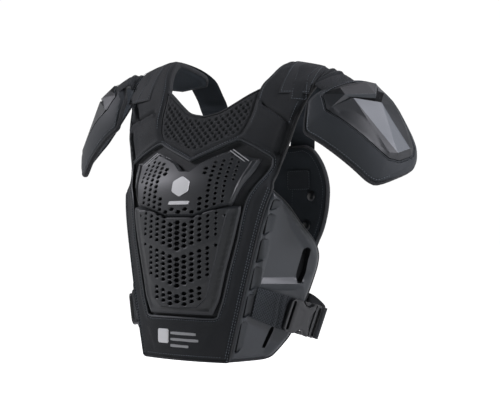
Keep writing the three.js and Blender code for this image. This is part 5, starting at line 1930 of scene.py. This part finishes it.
def backdrop_material() -> bpy.types.Material:
    """White floor that glows away from the object, so that it reads as an endless pale ground."""
    white = bpy.data.materials.new("studio_white")
    white.use_nodes = True
    n = Nodes(white.node_tree)
    place = n.add("ShaderNodeTexCoord").outputs["Object"]
    away = n.add("ShaderNodeVectorMath", {0: place}, operation="LENGTH").outputs["Value"]
    n.feed(white.node_tree.nodes["Principled BSDF"], {
        "Base Color": (0.9, 0.9, 0.9, 1), "Roughness": 0.95, "Emission Color": (1, 1, 1, 1),
        "Emission Strength": n.spread(away, 0.8, 1.35, 0.04, 1.0),
    })
    return white


def sky() -> None:
    """World that is white around the horizon, dim overhead and dimmer in front of the object."""
    world = bpy.data.worlds.new("studio_sky")
    world.use_nodes = True
    n = Nodes(world.node_tree)
    place = n.add("ShaderNodeTexCoord").outputs["Generated"]
    parts = n.add("ShaderNodeSeparateXYZ", {0: place}).outputs
    height = n.spread(parts["Z"], 0.235, 0.3, SKY, 0.1)
    turn = math.radians(CAMERA_TURN)
    behind = n.math("ADD", n.math("MULTIPLY", parts["X"], -math.sin(turn)),
                    n.math("MULTIPLY", parts["Y"], math.cos(turn)))
    strength = n.math("MULTIPLY", height, n.spread(behind, -0.5, 0.3, 0.36, 1.0))
    n.feed(world.node_tree.nodes["Background"], {"Color": (1, 1, 1, 1), "Strength": strength})
    bpy.context.scene.world = world
    bpy.context.scene.view_settings.view_transform = "Standard"


def studio() -> None:
    """Pale floor, soft lights and the camera at the photo's angle."""
    bpy.ops.mesh.primitive_plane_add(size=60, location=(0, 0, FLOOR_DEPTH))
    floor = bpy.context.object
    floor.name = "floor"
    floor.data.materials.append(backdrop_material())
    sky()
    for row in LIGHTS:
        light(*row)
    camera = bpy.data.cameras.new("camera")
    camera.lens, camera.sensor_width = CAMERA_LENS, 36
    camera.shift_x, camera.shift_y = CAMERA_SHIFT
    eye = linked("camera", camera)
    eye.location = CAMERA_PLACE
    eye.rotation_euler = (math.radians(90), 0, math.radians(CAMERA_TURN))
    bpy.context.scene.camera = eye


def main() -> None:
    """Build the deflector over the frame and set up the picture."""
    logging.basicConfig(level=logging.INFO, format="%(message)s")
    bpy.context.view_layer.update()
    stitcher = Stitcher()
    front = FrontPanel()
    front.build(stitcher)
    NeckMesh().build(front.neckline, stitcher)
    chest_plate().build()
    belly_plate().build()
    build_marks()
    BackPanel().build(stitcher)
    for side in Side:
        Wing(side).build(stitcher)
        ShoulderStrap(side).build(stitcher)
        Cap(side).build(stitcher)
        WaistStrap(side).build()
    studio()


if __name__ == "__main__":
    main()
